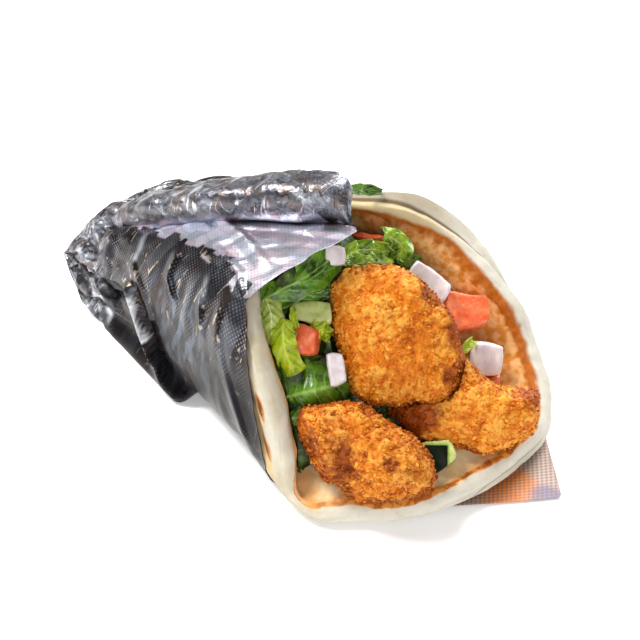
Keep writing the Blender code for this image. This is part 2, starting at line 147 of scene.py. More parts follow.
@dataclass(frozen=True)
class Skin:
    """The wrap's outer skin, a rounded-square section that grows from the tail to the mouth."""

    tail_x: float = -58.0
    mouth_x: float = 45.0
    floor_z: float = 1.3
    near_wall: Pair = (-40.0, -60.0)
    far_wall: Pair = (2.0, 35.0)
    half_height: Pair = (18.0, 37.7)
    crown: Triple = (60.5, 0.2745, -0.00216)
    top_round: float = 2.8
    near_corner: Pair = (5.0, 14.0)
    near_corner_x: Pair = (22.0, 52.0)
    far_corner: float = 3.4
    shift: Triple = (-11.25, 12.533, -0.1)
    steps: int = 1440

    def _straight(self, pair: Pair, x: Array) -> Array:
        """Value at x of a size that runs straight from the tail to the mouth."""
        return pair[0] + (x - self.tail_x) / (self.mouth_x - self.tail_x) * (pair[1] - pair[0])

    def sizes(self, x: Array, inset: Array | float) -> tuple[Array, Array, Array, Array, Array]:
        """Section at x.

        Args:
            x: Places along the wrap.
            inset: Depths under the skin.

        Returns:
            Middle y, middle z, half width, height above the middle and height below it.
        """
        near, far = self._straight(self.near_wall, x), self._straight(self.far_wall, x)
        middle = self.floor_z + self._straight(self.half_height, x)
        above = self.crown[0] + self.crown[1] * x + self.crown[2] * x * x - middle
        below = middle - self.floor_z
        return (near + far) / 2, middle, (far - near) / 2 - inset, above - inset, below - inset

    def _power(self, across: Array, up: Array, x: Array) -> Array:
        """Power of the rounded square in the quarter that a direction points to."""
        near = self.near_corner[0] + ease(x, *self.near_corner_x) * (self.near_corner[1] - self.near_corner[0])
        return np.where(up >= 0, self.top_round, np.where(across < 0, near, self.far_corner))

    def _section(self, angle: Array, x: Array, inset: Array | float) -> Array:
        """Points round the axis.

        Args:
            angle: Their angles, where 0 is far and a quarter turn is the top.
            x: Their x.
            inset: Their depths under the skin.

        Returns:
            One point in each row.
        """
        middle_y, middle_z, half, above, below = self.sizes(x, inset)
        across, up = np.cos(angle), np.sin(angle)
        power = self._power(across, up, x)
        reach = (np.abs(across) ** power + np.abs(up) ** power) ** (-1 / power)
        height = np.where(up >= 0, above, below)
        return np.stack([x, middle_y + half * across * reach, middle_z + height * up * reach], -1)

    @cached_property
    def _walk(self) -> tuple[Array, Array]:
        """The mouth's section.

        Returns:
            Angles once round it from the top, and the length walked to each.
        """
        angles = np.radians(90 + 360 * np.arange(self.steps + 1) / self.steps)
        points = self._section(angles, np.full(len(angles), self.mouth_x), 0.0)
        lengths = np.linalg.norm(np.diff(points, axis=0), axis=1)
        return angles, np.concatenate([[0.0], np.cumsum(lengths)])

    @property
    def girth(self) -> float:
        """Length all round the mouth's section."""
        return float(self._walk[1][-1])

    def point(self, girth: Array, x: Array, inset: Array | float = 0.0) -> Array:
        """Points on or under the skin.

        Args:
            girth: Their girths.
            x: Their x.
            inset: Their depths under the skin.

        Returns:
            One point in each row.
        """
        angles, walked = self._walk
        girth, x = np.broadcast_arrays(np.asarray(girth, float), np.asarray(x, float))
        return self._section(np.interp(girth % self.girth, walked, angles), x, inset)

    def to_frame(self, points: Array) -> Array:
        """Points of the layout, in metres in the CAD model's frame."""
        return (np.asarray(points, float) + self.shift) * MM

    def to_layout(self, points: Array) -> Array:
        """Points of the CAD model's frame, in millimetres in the layout."""
        return np.asarray(points, float) / MM - self.shift


SKIN = Skin()


# ------------------------------------------------------------------ modelling
class Bench:
    """Blender's modelling operators, used on one piece at a time."""

    @staticmethod
    def take(piece: bpy.types.Object) -> None:
        """Select one piece alone.

        Args:
            piece: The piece, which becomes the active one.
        """
        bpy.ops.object.select_all(action="DESELECT")
        piece.select_set(True)
        bpy.context.view_layer.objects.active = piece

    @staticmethod
    @contextmanager
    def editing(piece: bpy.types.Object) -> Iterator[None]:
        """Edit mode on one piece with all of it selected.

        Args:
            piece: The piece.

        Returns:
            A context that lasts as long as edit mode.
        """
        Bench.take(piece)
        bpy.ops.object.mode_set(mode="EDIT")
        bpy.ops.mesh.select_mode(type="VERT")
        bpy.ops.mesh.select_all(action="SELECT")
        yield
        bpy.ops.object.mode_set(mode="OBJECT")

    @staticmethod
    def sheet(name: str, columns: int, rows: int) -> bpy.types.Object:
        """Flat square sheet from -1 to 1, ready to be laid out.

        Args:
            name: The piece's name.
            columns: Faces along x.
            rows: Faces along y.

        Returns:
            The sheet's object.
        """
        bpy.ops.object.select_all(action="DESELECT")
        bpy.ops.mesh.primitive_grid_add(x_subdivisions=columns, y_subdivisions=rows, size=2)
        sheet = bpy.context.object
        sheet.name = sheet.data.name = name
        return sheet

    @staticmethod
    def show(name: str, data: bpy.types.ID) -> bpy.types.Object:
        """Put data into the scene.

        Args:
            name: The new object's name.
            data: Its mesh, lamp or camera.

        Returns:
            The new object.
        """
        item = bpy.data.objects.new(name, data)
        bpy.context.scene.collection.objects.link(item)
        return item

    @staticmethod
    def copy_of(node: str, name: str) -> bpy.types.Object:
        """Copy of a CAD node's shape with its loose triangles joined.

        Args:
            node: The node's name.
            name: The new piece's name.

        Returns:
            The new object.
        """
        piece = Bench.show(name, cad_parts[node].data.copy())
        piece.data.name = name
        piece.data.materials.clear()
        with Bench.editing(piece):
            bpy.ops.mesh.remove_doubles(threshold=WELD)
        return piece

    @staticmethod
    def rounded(node: str, name: str, voxel: float, passes: int) -> tuple[bpy.types.Object, Array, Array]:
        """Copy of a CAD node's shape as a fine even mesh, with its corners rounded off.

        Args:
            node: The node's name.
            name: The new piece's name.
            voxel: Size of the mesh's faces in millimetres.
            passes: How many times it is smoothed.

        Returns:
            The new object, its vertices in the wrap's layout and their normals.
        """
        piece = Bench.copy_of(node, name)
        Bench.finish(piece, "REMESH", mode="VOXEL", voxel_size=voxel * MM)
        Bench.finish(piece, "SMOOTH", factor=0.5, iterations=passes)
        return piece, *Bench.surface(piece)

    @staticmethod
    def finish(piece: bpy.types.Object, kind: str, **settings: object) -> None:
        """Add a modifier, set it and apply it.

        Args:
            piece: The piece.
            kind: The modifier's type.
            **settings: The modifier's properties.
        """
        Bench.take(piece)
        modifier = piece.modifiers.new(kind.title(), kind)
        for name, value in settings.items():
            setattr(modifier, name, value)
        bpy.ops.object.modifier_apply(modifier=modifier.name)

    @staticmethod
    def places(piece: bpy.types.Object) -> Array:
        """Where the piece's vertices stand in its mesh.

        Args:
            piece: The piece.

        Returns:
            One point in each row.
        """
        flat = np.zeros(len(piece.data.vertices) * 3)
        piece.data.vertices.foreach_get("co", flat)
        return flat.reshape(-1, 3)

    @staticmethod
    def normals(piece: bpy.types.Object) -> Array:
        """Which way the piece's surface faces at its vertices.

        Args:
            piece: The piece.

        Returns:
            One normal in each row.
        """
        flat = np.zeros(len(piece.data.vertices) * 3, np.float32)
        piece.data.vertex_normals.foreach_get("vector", flat)
        return flat.reshape(-1, 3).astype(float)

    @staticmethod
    def surface(piece: bpy.types.Object) -> tuple[Array, Array]:
        """The piece's vertices in the wrap's layout, and their normals."""
        return SKIN.to_layout(Bench.places(piece)), Bench.normals(piece)

    @staticmethod
    def lay(piece: bpy.types.Object, points: Array) -> None:
        """Move the piece's vertices to points of the wrap's layout."""
        piece.data.vertices.foreach_set("co", SKIN.to_frame(points).ravel())
        piece.data.update()

    @staticmethod
    def mark(piece: bpy.types.Object, **marks: Array) -> None:
        """Store numbers at the vertices, for the piece's finish to read.

        Args:
            piece: The piece.
            **marks: One number for each vertex, by the mark's name.
        """
        for name, values in marks.items():
            attribute = piece.data.attributes.new(name, "FLOAT", "POINT")
            attribute.data.foreach_set("value", np.asarray(values, np.float32))

    @staticmethod
    def smooth(piece: bpy.types.Object, angle: float = 180.0) -> None:
        """Shade the piece smooth.

        Args:
            piece: The piece.
            angle: Edges sharper than this many degrees stay sharp.
        """
        Bench.take(piece)
        if angle >= 180:
            bpy.ops.object.shade_smooth()
        else:
            bpy.ops.object.shade_smooth_by_angle(angle=math.radians(angle))

    @staticmethod
    def hand_over(piece: bpy.types.Object, slot: str, material: bpy.types.Material, *nodes: str) -> None:
        """Dress a finished piece and put it in its nodes' place.

        Args:
            piece: The finished piece.
            slot: Not used.
            material: The piece's finish.
            *nodes: CAD nodes that the piece stands for.
        """
        piece.data.materials.clear()
        piece.data.materials.append(material)
        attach(piece, BODY)
        if nodes:
            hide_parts(*nodes)
        LOG.info("%s: %d faces", piece.name, len(piece.data.polygons))


# ------------------------------------------------------------------ shader maths
class Signal:
    """A shader socket on which Python's own arithmetic can be written."""

    def __init__(self, graph: "Graph", socket: bpy.types.NodeSocket) -> None:
        """Wrap a socket of a graph."""
        self.graph = graph
        self.socket = socket

    def _math(self, operation: str, *values: "Signal | float") -> "Signal":
        """Math node with this graph's values."""
        return self.graph.add("ShaderNodeMath", {"operation": operation}, dict(enumerate(values)))

    def __add__(self, other: "Signal | float") -> "Signal":
        """Sum."""
        return self._math("ADD", self, other)

    __radd__ = __add__

    def __sub__(self, other: "Signal | float") -> "Signal":
        """Difference."""
        return self._math("SUBTRACT", self, other)

    def __rsub__(self, other: "Signal | float") -> "Signal":
        """Difference from a number."""
        return self._math("SUBTRACT", other, self)

    def __mul__(self, other: "Signal | float") -> "Signal":
        """Product."""
        return self._math("MULTIPLY", self, other)

    __rmul__ = __mul__

    def up_to(self, other: "Signal | float") -> "Signal":
        """The smaller of this and another value."""
        return self._math("MINIMUM", self, other)

    def sine(self) -> "Signal":
        """Sine of this value in radians."""
        return self._math("SINE", self)

    def absolute(self) -> "Signal":
        """Size of this value without its sign."""
        return self._math("ABSOLUTE", self)

    def step(self, start: float, end: float) -> "Signal":
        """Smooth step from 0 at start to 1 at end, which may lie below start.

        Args:
            start: Value that gives 0.
            end: Value that gives 1.

        Returns:
            The graded value.
        """
        low, high, first, last = (start, end, 0.0, 1.0) if start < end else (end, start, 1.0, 0.0)
        settings = {"interpolation_type": "SMOOTHSTEP"}
        return self.graph.add("ShaderNodeMapRange", settings, {0: self, 1: low, 2: high, 3: first, 4: last})


class Graph:
    """A material's node graph with one Principled shader."""

    def __init__(self, name: str) -> None:
        """Start a material.

        Args:
            name: The material's name.
        """
        self.material = bpy.data.materials.new(name)
        self.material.use_nodes = True
        self.nodes = self.material.node_tree.nodes
        self.links = self.material.node_tree.links
        self.shader = self.nodes["Principled BSDF"]

    def feed(self, socket: bpy.types.NodeSocket, value: "Signal | Colour | float") -> None:
        """Link a signal to a socket, or set a value on it.

        Args:
            socket: An input socket.
            value: The signal or the value.
        """
        if isinstance(value, Signal):
            self.links.new(value.socket, socket)
        else:
            socket.default_value = value

    def add(self, kind: str, settings: dict[str, object], values: dict[int | str, object],
            output: int | str = 0) -> Signal:
        """Add any node.

        Args:
            kind: The node's type.
            settings: Its properties, which are set first.
            values: Values or signals of its input sockets, by number or name.
            output: The socket that is read.

        Returns:
            The output as a signal.
        """
        node = self.nodes.new(kind)
        for name, setting in settings.items():
            setattr(node, name, setting)
        for key, value in values.items():
            self.feed(node.inputs[key], value)
        return Signal(self, node.outputs[output])

    def mark(self, name: str) -> Signal:
        """Number that the piece's mesh stores at its vertices."""
        return self.add("ShaderNodeAttribute", {"attribute_name": name}, {}, "Fac")

    def place(self) -> Signal:
        """Object coordinates."""
        return self.add("ShaderNodeTexCoord", {}, {}, "Object")

    def _sized(self, size: float, where: Signal | None) -> dict[str, object]:
        """Inputs of a pattern of a size in millimetres, on coordinates or on Object coordinates."""
        return {"Vector": where or self.place(), "Scale": 1 / (size * MM)}

    def noise(self, size: float, detail: float = 2.0, where: Signal | None = None) -> Signal:
        """Noise from 0 to 1, with swells of a size in millimetres and octaves of finer detail."""
        return self.add("ShaderNodeTexNoise", {}, self._sized(size, where) | {"Detail": detail})

    def cells(self, size: float, where: Signal | None = None, feature: str = "F1") -> Signal:
        """Distance to the nearest of points scattered a size apart, in sizes, or what the feature names."""
        return self.add("ShaderNodeTexVoronoi", {"feature": feature}, self._sized(size, where))

    def vector(self, operation: str, first: Signal | Triple, second: Signal | Triple, output: int = 0) -> Signal:
        """Vector Math node; output 1 is its number."""
        return self.add("ShaderNodeVectorMath", {"operation": operation}, {0: first, 1: second}, output)

    def facets(self, size: float, where: Signal) -> tuple[Signal, Signal, Signal]:
        """Flat cells, each tilted its own way, as in crumpled foil.

        Args:
            size: Size of a cell in millimetres.
            where: Coordinates in metres.

        Returns:
            Their heights in cell sizes, a tone from 0 to 1 for each cell, and the distance to its edge.
        """
        cell = self.add("ShaderNodeTexVoronoi", {}, self._sized(size, where), "Color")
        centre = Signal(self, cell.socket.node.outputs["Position"])
        tilt = self.vector("SUBTRACT", cell, (0.5, 0.5, 0.5))
        away = self.vector("SUBTRACT", where, centre)
        height = self.vector("DOT_PRODUCT", tilt, away, 1) * (1 / (size * MM))
        return height, self.add("ShaderNodeSeparateXYZ", {}, {0: cell}), self.cells(size, where, "DISTANCE_TO_EDGE")

    def warped(self, where: Signal, size: float, shift: float) -> Signal:
        """Coordinates pushed about by noise.

        Args:
            where: Coordinates in metres.
            size: Size of one swell of the noise in millimetres.
            shift: How far they are pushed, in millimetres.

        Returns:
            The new coordinates.
        """
        swirl = self.add("ShaderNodeTexNoise", {}, self._sized(size, where), 1)
        push = self.vector("MULTIPLY", self.vector("SUBTRACT", swirl, (0.5, 0.5, 0.5)), (2 * shift * MM,) * 3)
        return self.vector("ADD", where, push)

    def threads(self, size: float, width: float, where: Signal | None = None) -> Signal:
        """Thin winding lines, 1 on the line; size is their windings' in millimetres, width a share of it."""
        return (self.noise(size, 3, where) - 0.5).absolute().step(width, 0)

    def stretched(self, layout: str, turn: float, stretch: float) -> Signal:
        """Coordinates of a UV map, drawn out in one direction.

        Args:
            layout: The UV map's name.
            turn: The direction, in degrees from the map's first axis.
            stretch: How many times longer a pattern is in that direction.

        Returns:
            The coordinates in metres.
        """
        values = {"Vector": self.add("ShaderNodeUVMap", {"uv_map": layout}, {}),
                  "Rotation": (0, 0, math.radians(turn)), "Scale": (stretch, 1, 1)}
        return self.add("ShaderNodeMapping", {"vector_type": "TEXTURE"}, values)

    def mix(self, share: Signal | float, first: Signal | Colour, second: Signal | Colour) -> Signal:
        """Colour between two, at share 0 the first and at 1 the second."""
        return self.add("ShaderNodeMix", {"data_type": "RGBA"}, {0: share, 6: first, 7: second}, 2)

    def layers(self, base: Signal | Colour, *coats: tuple[Signal | float, Signal | Colour]) -> Signal:
        """Colours laid over one another.

        Args:
            base: The lowest colour.
            *coats: Share and colour of each one above it, in order.

        Returns:
            The mixed colour.
        """
        for share, colour in coats:
            base = self.mix(share, base, colour)
        return base

    def mix_number(self, share: Signal, first: Signal, second: Signal) -> Signal:
        """Number between two, at share 0 the first and at 1 the second."""
        return first + (second - first) * share

    def bump(self, height: Signal, depth: float, strength: float = 1.0, under: Signal | None = None) -> Signal:
        """Relief from a height.

        Args:
            height: Height from 0 to 1.
            depth: Height of 1, in millimetres.
            strength: Strength of the relief.
            under: Relief that this one lies on.

        Returns:
            The normal.
        """
        values = {"Strength": strength, "Distance": depth * MM, "Height": height}
        if under:
            values["Normal"] = under
        return self.add("ShaderNodeBump", {}, values)

    def dress(self, colour: Signal | Colour, roughness: Signal | float, soft: Span | None = None,
              **values: object) -> bpy.types.Material:
        """Feed the shader's sockets.

        Args:
            colour: Base colour.
            roughness: Roughness.
            soft: Share of light that goes in, and how far its red, green and blue go, in metres.
            **values: Values or signals of other sockets, named with _ for a space.

        Returns:
            The finished material.
        """
        values |= {"Base_Color": colour, "Roughness": roughness}
        if soft:
            values |= {"Subsurface_Weight": soft[0], "Subsurface_Radius": soft[1:], "Subsurface_Scale": 1.0}
        for name, value in values.items():
            self.feed(self.shader.inputs[name.replace("_", " ")], value)
        return self.material


# ------------------------------------------------------------------ finishes
@dataclass(frozen=True)
class BreadFinish:
    """Soft flatbread: floury outside, mottled golden brown inside, with a browned ring at its rim; its fold streaks and
    ply crease are painted shade, and its near lip's outer face is painted lighter.
    """

    crumb: Colour = srgb(190, 180, 156)
    flour: Colour = srgb(206, 201, 186)
    light: Colour = srgb(216, 213, 202)
    cream: Colour = srgb(188, 170, 130)
    aged: Colour = srgb(198, 178, 130)
    # Painted shade in the crease between the two plies.
    crease: Colour = srgb(100, 74, 40)
    pale: Colour = srgb(236, 184, 122)
    sand: Colour = srgb(246, 226, 182)
    toast: Colour = srgb(214, 140, 56)
    brown: Colour = srgb(180, 100, 22)
    scorch: Colour = srgb(152, 74, 4)
    # The near lip's outer face is tinted ochre, painted lighter than the bread to lift the shade there.
    ochre: Colour = srgb(236, 198, 134)
    tan: Colour = srgb(178, 112, 44)
    singed: Colour = srgb(122, 60, 8)

    def material(self) -> bpy.types.Material:
        """Build the material. It reads the bread's marks into, girth, spots, under and ply.

        Returns:
            The material.
        """
        g = Graph("flatbread")
        into, girth = g.mark("into"), g.mark("girth")
        blotch, fine, patch, mottle = g.noise(10, 3), g.noise(1.8, 3), g.noise(4.2, 4), g.noise(2.6, 5)
        ply = g.mark("ply")
        # Soft folds along the near lip, painted as darker streaks of shade.
        fold_shade = g.noise(1, 3, g.add("ShaderNodeCombineXYZ", {}, {0: into * MM, 1: girth * (0.12 * MM)}))
        # Outer face; the crease between its plies is painted dark as shade.
        outer = g.layers(
            self.crumb, (blotch.step(0.38, 0.62), self.flour), (girth.step(100, 112) * 0.6, self.light),
            (fine.step(0.52, 0.8) * 0.35, self.cream),
            (girth.step(224, 244) * (ply.step(-0.2, 0.6) * 0.6 + 0.2), self.aged),
            (fold_shade.step(0.48, 0.7) * girth.step(112, 96) * 0.35, self.cream),
            (ply.absolute().step(0.4, 0.1) * (girth.step(190, 225) * 0.5 + 0.35), self.crease))
        ragged = into + fine * 0.6 - 0.3 + patch * 1.6 - 0.8
        far = girth.step(158, 176)
        ring = g.mix(fine.step(0.4, 0.7), self.scorch, self.brown)
        band = (ragged + mottle * 3 - 1.5 + girth.step(190, 235) * 2.2).step(5.4, 3.0)
        baked = g.layers(self.toast, ((mottle * 0.8 + patch * 0.4 - 0.1).step(0.4, 0.58), self.pale),
                         (fine.step(0.52, 0.66) * 0.35, self.brown), (band * 0.92, ring))
        line = ragged.step(-0.3, 0.3) * (ragged + patch * 1.6 - 0.8).step(2.8, 1.2)
        halo = ragged.step(-0.3, 0.3) * (ragged + patch * 4 - 2).step(7, 1)
        thin = into.step(-0.25, 0.15) * into.step(1.2, 0.6) * (girth.step(72, 98) * 0.55 + 0.12)
        line = g.mix_number(girth.step(101, 112), thin, line)
        stain = mottle.step(0.36, 0.58) * (into + blotch * 14 - 7).step(15, 6)
        soft = g.layers(
            self.pale, (blotch.step(0.35, 0.6), self.sand), (stain * 0.22, self.toast), (halo * 0.42, self.toast),
            (line * 0.95, g.mix(mottle.step(0.42, 0.56), self.toast, ring)))
        colour = g.mix(g.mix_number(far, into.step(-0.3, 0.2), ragged.step(-0.6, 0.6)), outer,
                       g.mix(far, soft, baked))
        spots = g.mark("spots") * (patch * 1.1).step(0.22, 0.44)
        # The near lip's outer face behind its brown line is painted lighter ochre, to lift the shade there.
        colour = g.layers(colour, (g.mark("under") * 0.7, self.ochre), (spots.step(0.3, 0.75) * 0.9, self.tan),
                          (spots.step(0.75, 1.1), self.singed))
        relief = g.bump(fine, 0.3, 0.5)
        relief = g.bump(g.cells(1.1), 0.1, 0.35, relief)
        return g.dress(colour, 0.8, (0.05, 0.003, 0.0024, 0.0018), Normal=relief, Specular_IOR_Level=0.15)


@dataclass(frozen=True)
class FoilFinish:
    """Aluminium foil, finely embossed with dots, with reflections painted into its colour: dark on its steeper sides,
    bright along its top, and painted highlights and shade at its creases.
    """

    # Painted reflections of the steep wall: a dark base with brown, steel and blue facets.
    wall: Colour = srgb(36, 32, 36)
    brown_facet_reflection: Colour = srgb(62, 52, 48)
    steel: Colour = srgb(98, 100, 108)
    blue: Colour = srgb(150, 168, 192)
    # The top band's bright painted reflection, with mauve patches.
    band: Colour = srgb(214, 220, 236)
    mauve: Colour = srgb(222, 204, 216)
    # The roll's tones; brown is a painted reflection of the bread.
    roll: Colour = srgb(104, 104, 112)
    grey: Colour = srgb(148, 152, 162)
    brown: Colour = srgb(130, 110, 94)
    # white and straw are painted highlights.
    white: Colour = srgb(232, 236, 244)
    straw: Colour = srgb(186, 172, 150)
    # black is painted shade.
    black: Colour = srgb(14, 14, 18)
    # The flat corner; its orange is a painted reflection of the browned bread, and violet a painted bluish reflection
    # at its tip.
    flap: Colour = srgb(188, 166, 154)
    reflected_bread: Colour = srgb(226, 138, 70)
    violet: Colour = srgb(118, 114, 146)
    dot_pitch: float = 1.6
    dot_depth: float = 0.09
    streak_turn: float = 104.0
    band_turn: float = -28.0

    def material(self) -> bpy.types.Material:
        """Build the material. It reads the foil's marks and its layout.

        Returns:
            The material.
        """
        g = Graph("embossed_foil")
        top, fold, bread_reflection, flap, deep, glint, sheen, dotted, tail, tip = (g.mark(name) for name in (
            "top", "fold", "bread_reflection", "flap", "deep", "glint", "sheen", "dotted", "tail", "tip"))
        down, along = g.stretched("sheet", self.streak_turn, 4), g.stretched("sheet", self.band_turn, 1.8)
        crumpled, wound = g.warped(g.place(), 9, 2.2), g.warped(down, 5, 3)
        wide, wide_tone, wide_edge = g.facets(6, crumpled)
        small, small_tone, small_edge = g.facets(2.6, crumpled)
        plate, plate_tone, plate_edge = g.facets(5, g.warped(down, 14, 1.6))
        pleat, pleat_tone, pleat_edge = g.facets(3.6, g.warped(along, 14, 1.6))
        patch = g.noise(5, 3)
        wave = math.tau / (self.dot_pitch * MM)
        layout = g.add("ShaderNodeUVMap", {"uv_map": "sheet"}, {})
        u, v = (g.add("ShaderNodeSeparateXYZ", {}, {0: layout}, axis) for axis in (0, 1))
        dots = (u * wave).sine() * (v * wave).sine() * 0.5 + 0.5
        # The wall's painted reflections: a dark base with brown, steel and blue facets, painted shade on the lower
        # wall, and painted highlights along crease edges and on the embossed dots.
        wall = g.layers(
            self.wall, (plate_tone.step(0.35, 0.85), self.brown_facet_reflection), (plate_tone.step(0.26, 0.1) * 0.5, self.steel),
            (g.noise(3.4, 2, down).step(0.46, 0.6) * sheen * 0.6, self.blue), ((1 - dotted) * 0.75, self.black),
            (plate_edge.step(0.05, 0.01) * g.noise(4, 3).step(0.55, 0.62) * dotted, self.straw),
            (dots.step(0.55, 0.85) * dotted * g.noise(9, 2).step(0.4, 0.6) * 0.55, self.grey))
        # The top band's bright painted reflection, with mauve patches, and painted shade on darker facets, pleat edges
        # and the embossed dots.
        band = g.layers(
            self.band, ((pleat_tone * 0.4 + patch * 0.9 - 0.15).step(0.3, 0.8), self.mauve),
            (pleat_tone.step(0.28, 0.1) * 0.28, self.steel), (pleat_edge.step(0.08, 0) * 0.18, self.steel),
            (dots.step(0.5, 0.15) * 0.22, self.steel))
        # The roll, with painted reflections of the bread, thin creases painted dark as shade, painted white highlight
        # strokes, and on the tail painted dark hollows and highlights.
        roll = g.layers(
            self.roll, ((wide_tone * 0.6 + small_tone * 0.4).step(0.35, 0.8), self.grey),
            (patch.step(0.48, 0.6) * 0.5, self.brown), (g.threads(7, 0.025, crumpled) * 0.7, self.wall),
            (g.threads(5, 0.03, wound) * g.noise(6, 2).step(0.5, 0.58) * 0.9, self.white),
            (wide_tone.step(0.42, 0.15) * tail * 0.5, self.black),
            (small_tone.step(0.6, 0.95) * tail * 0.4, self.white))
        # The flat corner, with painted reflections of the browned bread and of blue at its tip, and painted shade on
        # the embossed dots.
        corner = g.layers(
            self.flap, (bread_reflection * (patch + 0.5).up_to(1), self.reflected_bread), (tip * 0.8, self.violet),
            (dots.step(0.6, 0.3) * 0.75, self.brown))
        # The top band painted bright over the wall, then the roll and the corner, painted highlights at crease edges,
        # painted shade at small edges and in the grooves, and painted glints.
        base = g.layers(
            wall, ((top + plate_tone * 0.6 + pleat_tone * 0.15 - 0.38).step(0.45, 0.55), band), (fold, roll),
            (flap, corner), (wide_edge.step(0.03, 0) * g.noise(3, 2).step(0.54, 0.6) * fold * 0.5, self.white),
            (small_edge.step(0.08, 0) * fold * 0.25, self.roll),
            (g.noise(0.9, 3).step(0.5, 0.7) * fold * 0.3, self.roll), (deep * 0.9, self.black),
            (glint * 0.8, self.white))
        relief = g.bump(dots * dotted * (1 - fold * 0.8) * (1 - top * 0.65), self.dot_depth, 0.6)
        scrunched = wide * (tail * 0.7 + 0.5) + small * (tail * 0.5 + 0.5) + g.noise(2.2, 3, crumpled) * 0.6
        pleated = plate * 0.6 * (1 - top) + pleat * 0.75 * top
        creased = scrunched * fold + pleated * (1 - fold)
        relief = g.bump(creased * (1 - flap * 0.8), 1.0, 0.8, relief)
        return g.dress(base, patch * 0.16 + flap * 0.14 + fold * 0.06 + 0.26, Metallic=1 - flap * 0.55, Normal=relief)


@dataclass(frozen=True)
class CrumbFinish:
    """Fried crumb coating: golden, with tips painted paler as highlights, hollows painted darker orange as shade, and
    browner toasted sides.
    """

    # tip is a painted highlight on the crumbs' tops, and hollow painted shade in their gaps.
    tip: Colour = srgb(234, 170, 70)
    gold: Colour = srgb(212, 122, 18)
    amber: Colour = srgb(198, 98, 8)
    hollow: Colour = srgb(180, 80, 4)
    brown: Colour = srgb(152, 58, 6)
    scorch: Colour = srgb(104, 40, 6)

    def material(self) -> bpy.types.Material:
        """Build the material. It reads the marks relief and toast.

        Returns:
            The material.
        """
        g = Graph("fried_crumbs")
        relief, toast = g.mark("relief"), g.mark("toast")
        patch, fine = g.noise(7, 3), g.noise(0.8, 3)
        height = relief + fine * 0.6 - 0.3
        burnt = (toast + patch * 0.6 - 0.3 - relief * 0.25).step(0.12, 0.8)
        # By the relief's height, darker hollows are painted shade and paler tips painted highlights; in burnt patches
        # the low parts are painted darker, scorch, as shade.
        base = g.layers(
            self.hollow, (height.step(0.04, 0.32), self.amber), (height.step(0.28, 0.6), self.gold),
            ((height + patch * 0.8 - 0.4).step(0.52, 0.95) * 0.8, self.tip), (patch.step(0.48, 0.3) * 0.4, self.amber),
            (burnt * 0.85, g.mix(height.step(0.75, 0.3), self.brown, self.scorch)))
        return g.dress(base, fine * 0.3 + 0.35, (0.08, 0.0015, 0.0007, 0.0003),
                       Normal=g.bump(g.noise(0.5, 3), 0.22, 0.6), Specular_IOR_Level=0.2)


class Tone(Enum):
    """Greens that the lettuce comes in, as blade, dark of the blade and rib."""

    # DEEP, the darkest green, goes to dark leaves and to leaves lying in the heap's shade, so it is partly painted
    # shade.
    DEEP = (srgb(96, 144, 30), srgb(42, 80, 8), srgb(150, 184, 92))
    FRESH = (srgb(140, 178, 24), srgb(70, 112, 8), srgb(196, 210, 96))
    PALE = (srgb(168, 184, 88), srgb(122, 148, 44), srgb(212, 218, 142))
    YELLOW = (srgb(164, 184, 20), srgb(118, 146, 8), srgb(200, 206, 76))


@dataclass(frozen=True)
class LeafFinish:
    """Moist lettuce blade with a paler midrib and faint side veins, one half painted darker as shade and its rim
    painted lighter as a highlight.
    """

    tone: Tone
    vein_pitch: float = 0.17

    def material(self) -> bpy.types.Material:
        """Build the material. It reads the leaf's marks side and run, across and along it.

        Returns:
            The material.
        """
        blade, dark, rib = self.tone.value
        g = Graph("lettuce_" + self.tone.name.lower())
        side, run = g.mark("side"), g.mark("run")
        away, cloud = side.absolute(), g.noise(5, 3)
        wave = ((run - away * 0.3) * (math.tau / self.vein_pitch) + g.noise(6, 2) * 6).sine()
        veins = wave.step(0.8, 1.0) * away.step(1.0, 0.2)
        midrib = (away + g.noise(5, 1) * 0.04).step(0.1, 0.04) * run.step(1.0, 0.7)
        # One half of each blade is painted darker as shade and its rim lighter as a highlight; the veins and midrib are
        # the leaf's own.
        base = g.layers(
            dark, ((cloud + veins * 0.1).step(0.36, 0.6), blade), ((side + cloud * 2 - 1).step(0.1, -0.4) * 0.35, dark),
            (g.threads(2.5, 0.03) * 0.3, rib),
            ((veins * 0.35 + midrib * 0.75 + away.step(0.86, 1.0) * 0.4).up_to(1), rib))
        relief = g.bump(wave * 0.5 + 0.5, 0.35, 0.5)
        relief = g.bump(g.noise(1.6, 3), 0.35, 0.5, relief)
        return g.dress(base, g.noise(3, 1) * 0.2 + 0.16, (0.1, 0.0008, 0.0012, 0.0003), Normal=relief,
                       Specular_IOR_Level=0.5)


@dataclass(frozen=True)
class CoreFinish:
    """Shredded leaves deep in the heap, their dark green partly painted shade."""

    dark: Colour = srgb(28, 46, 10)
    leaf: Colour = srgb(70, 104, 26)
    pale: Colour = srgb(140, 158, 76)

    def material(self) -> bpy.types.Material:
        """Build the material from its colours.

        Returns:
            The material.
        """
        g = Graph("shredded_lettuce")
        shreds = g.noise(3.4, 4)
        base = g.layers(self.dark, (shreds.step(0.42, 0.62), self.leaf),
                        (g.noise(2.2, 3).step(0.62, 0.72), self.pale))
        return g.dress(base, 0.5, Normal=g.bump(shreds, 0.9, 0.8))


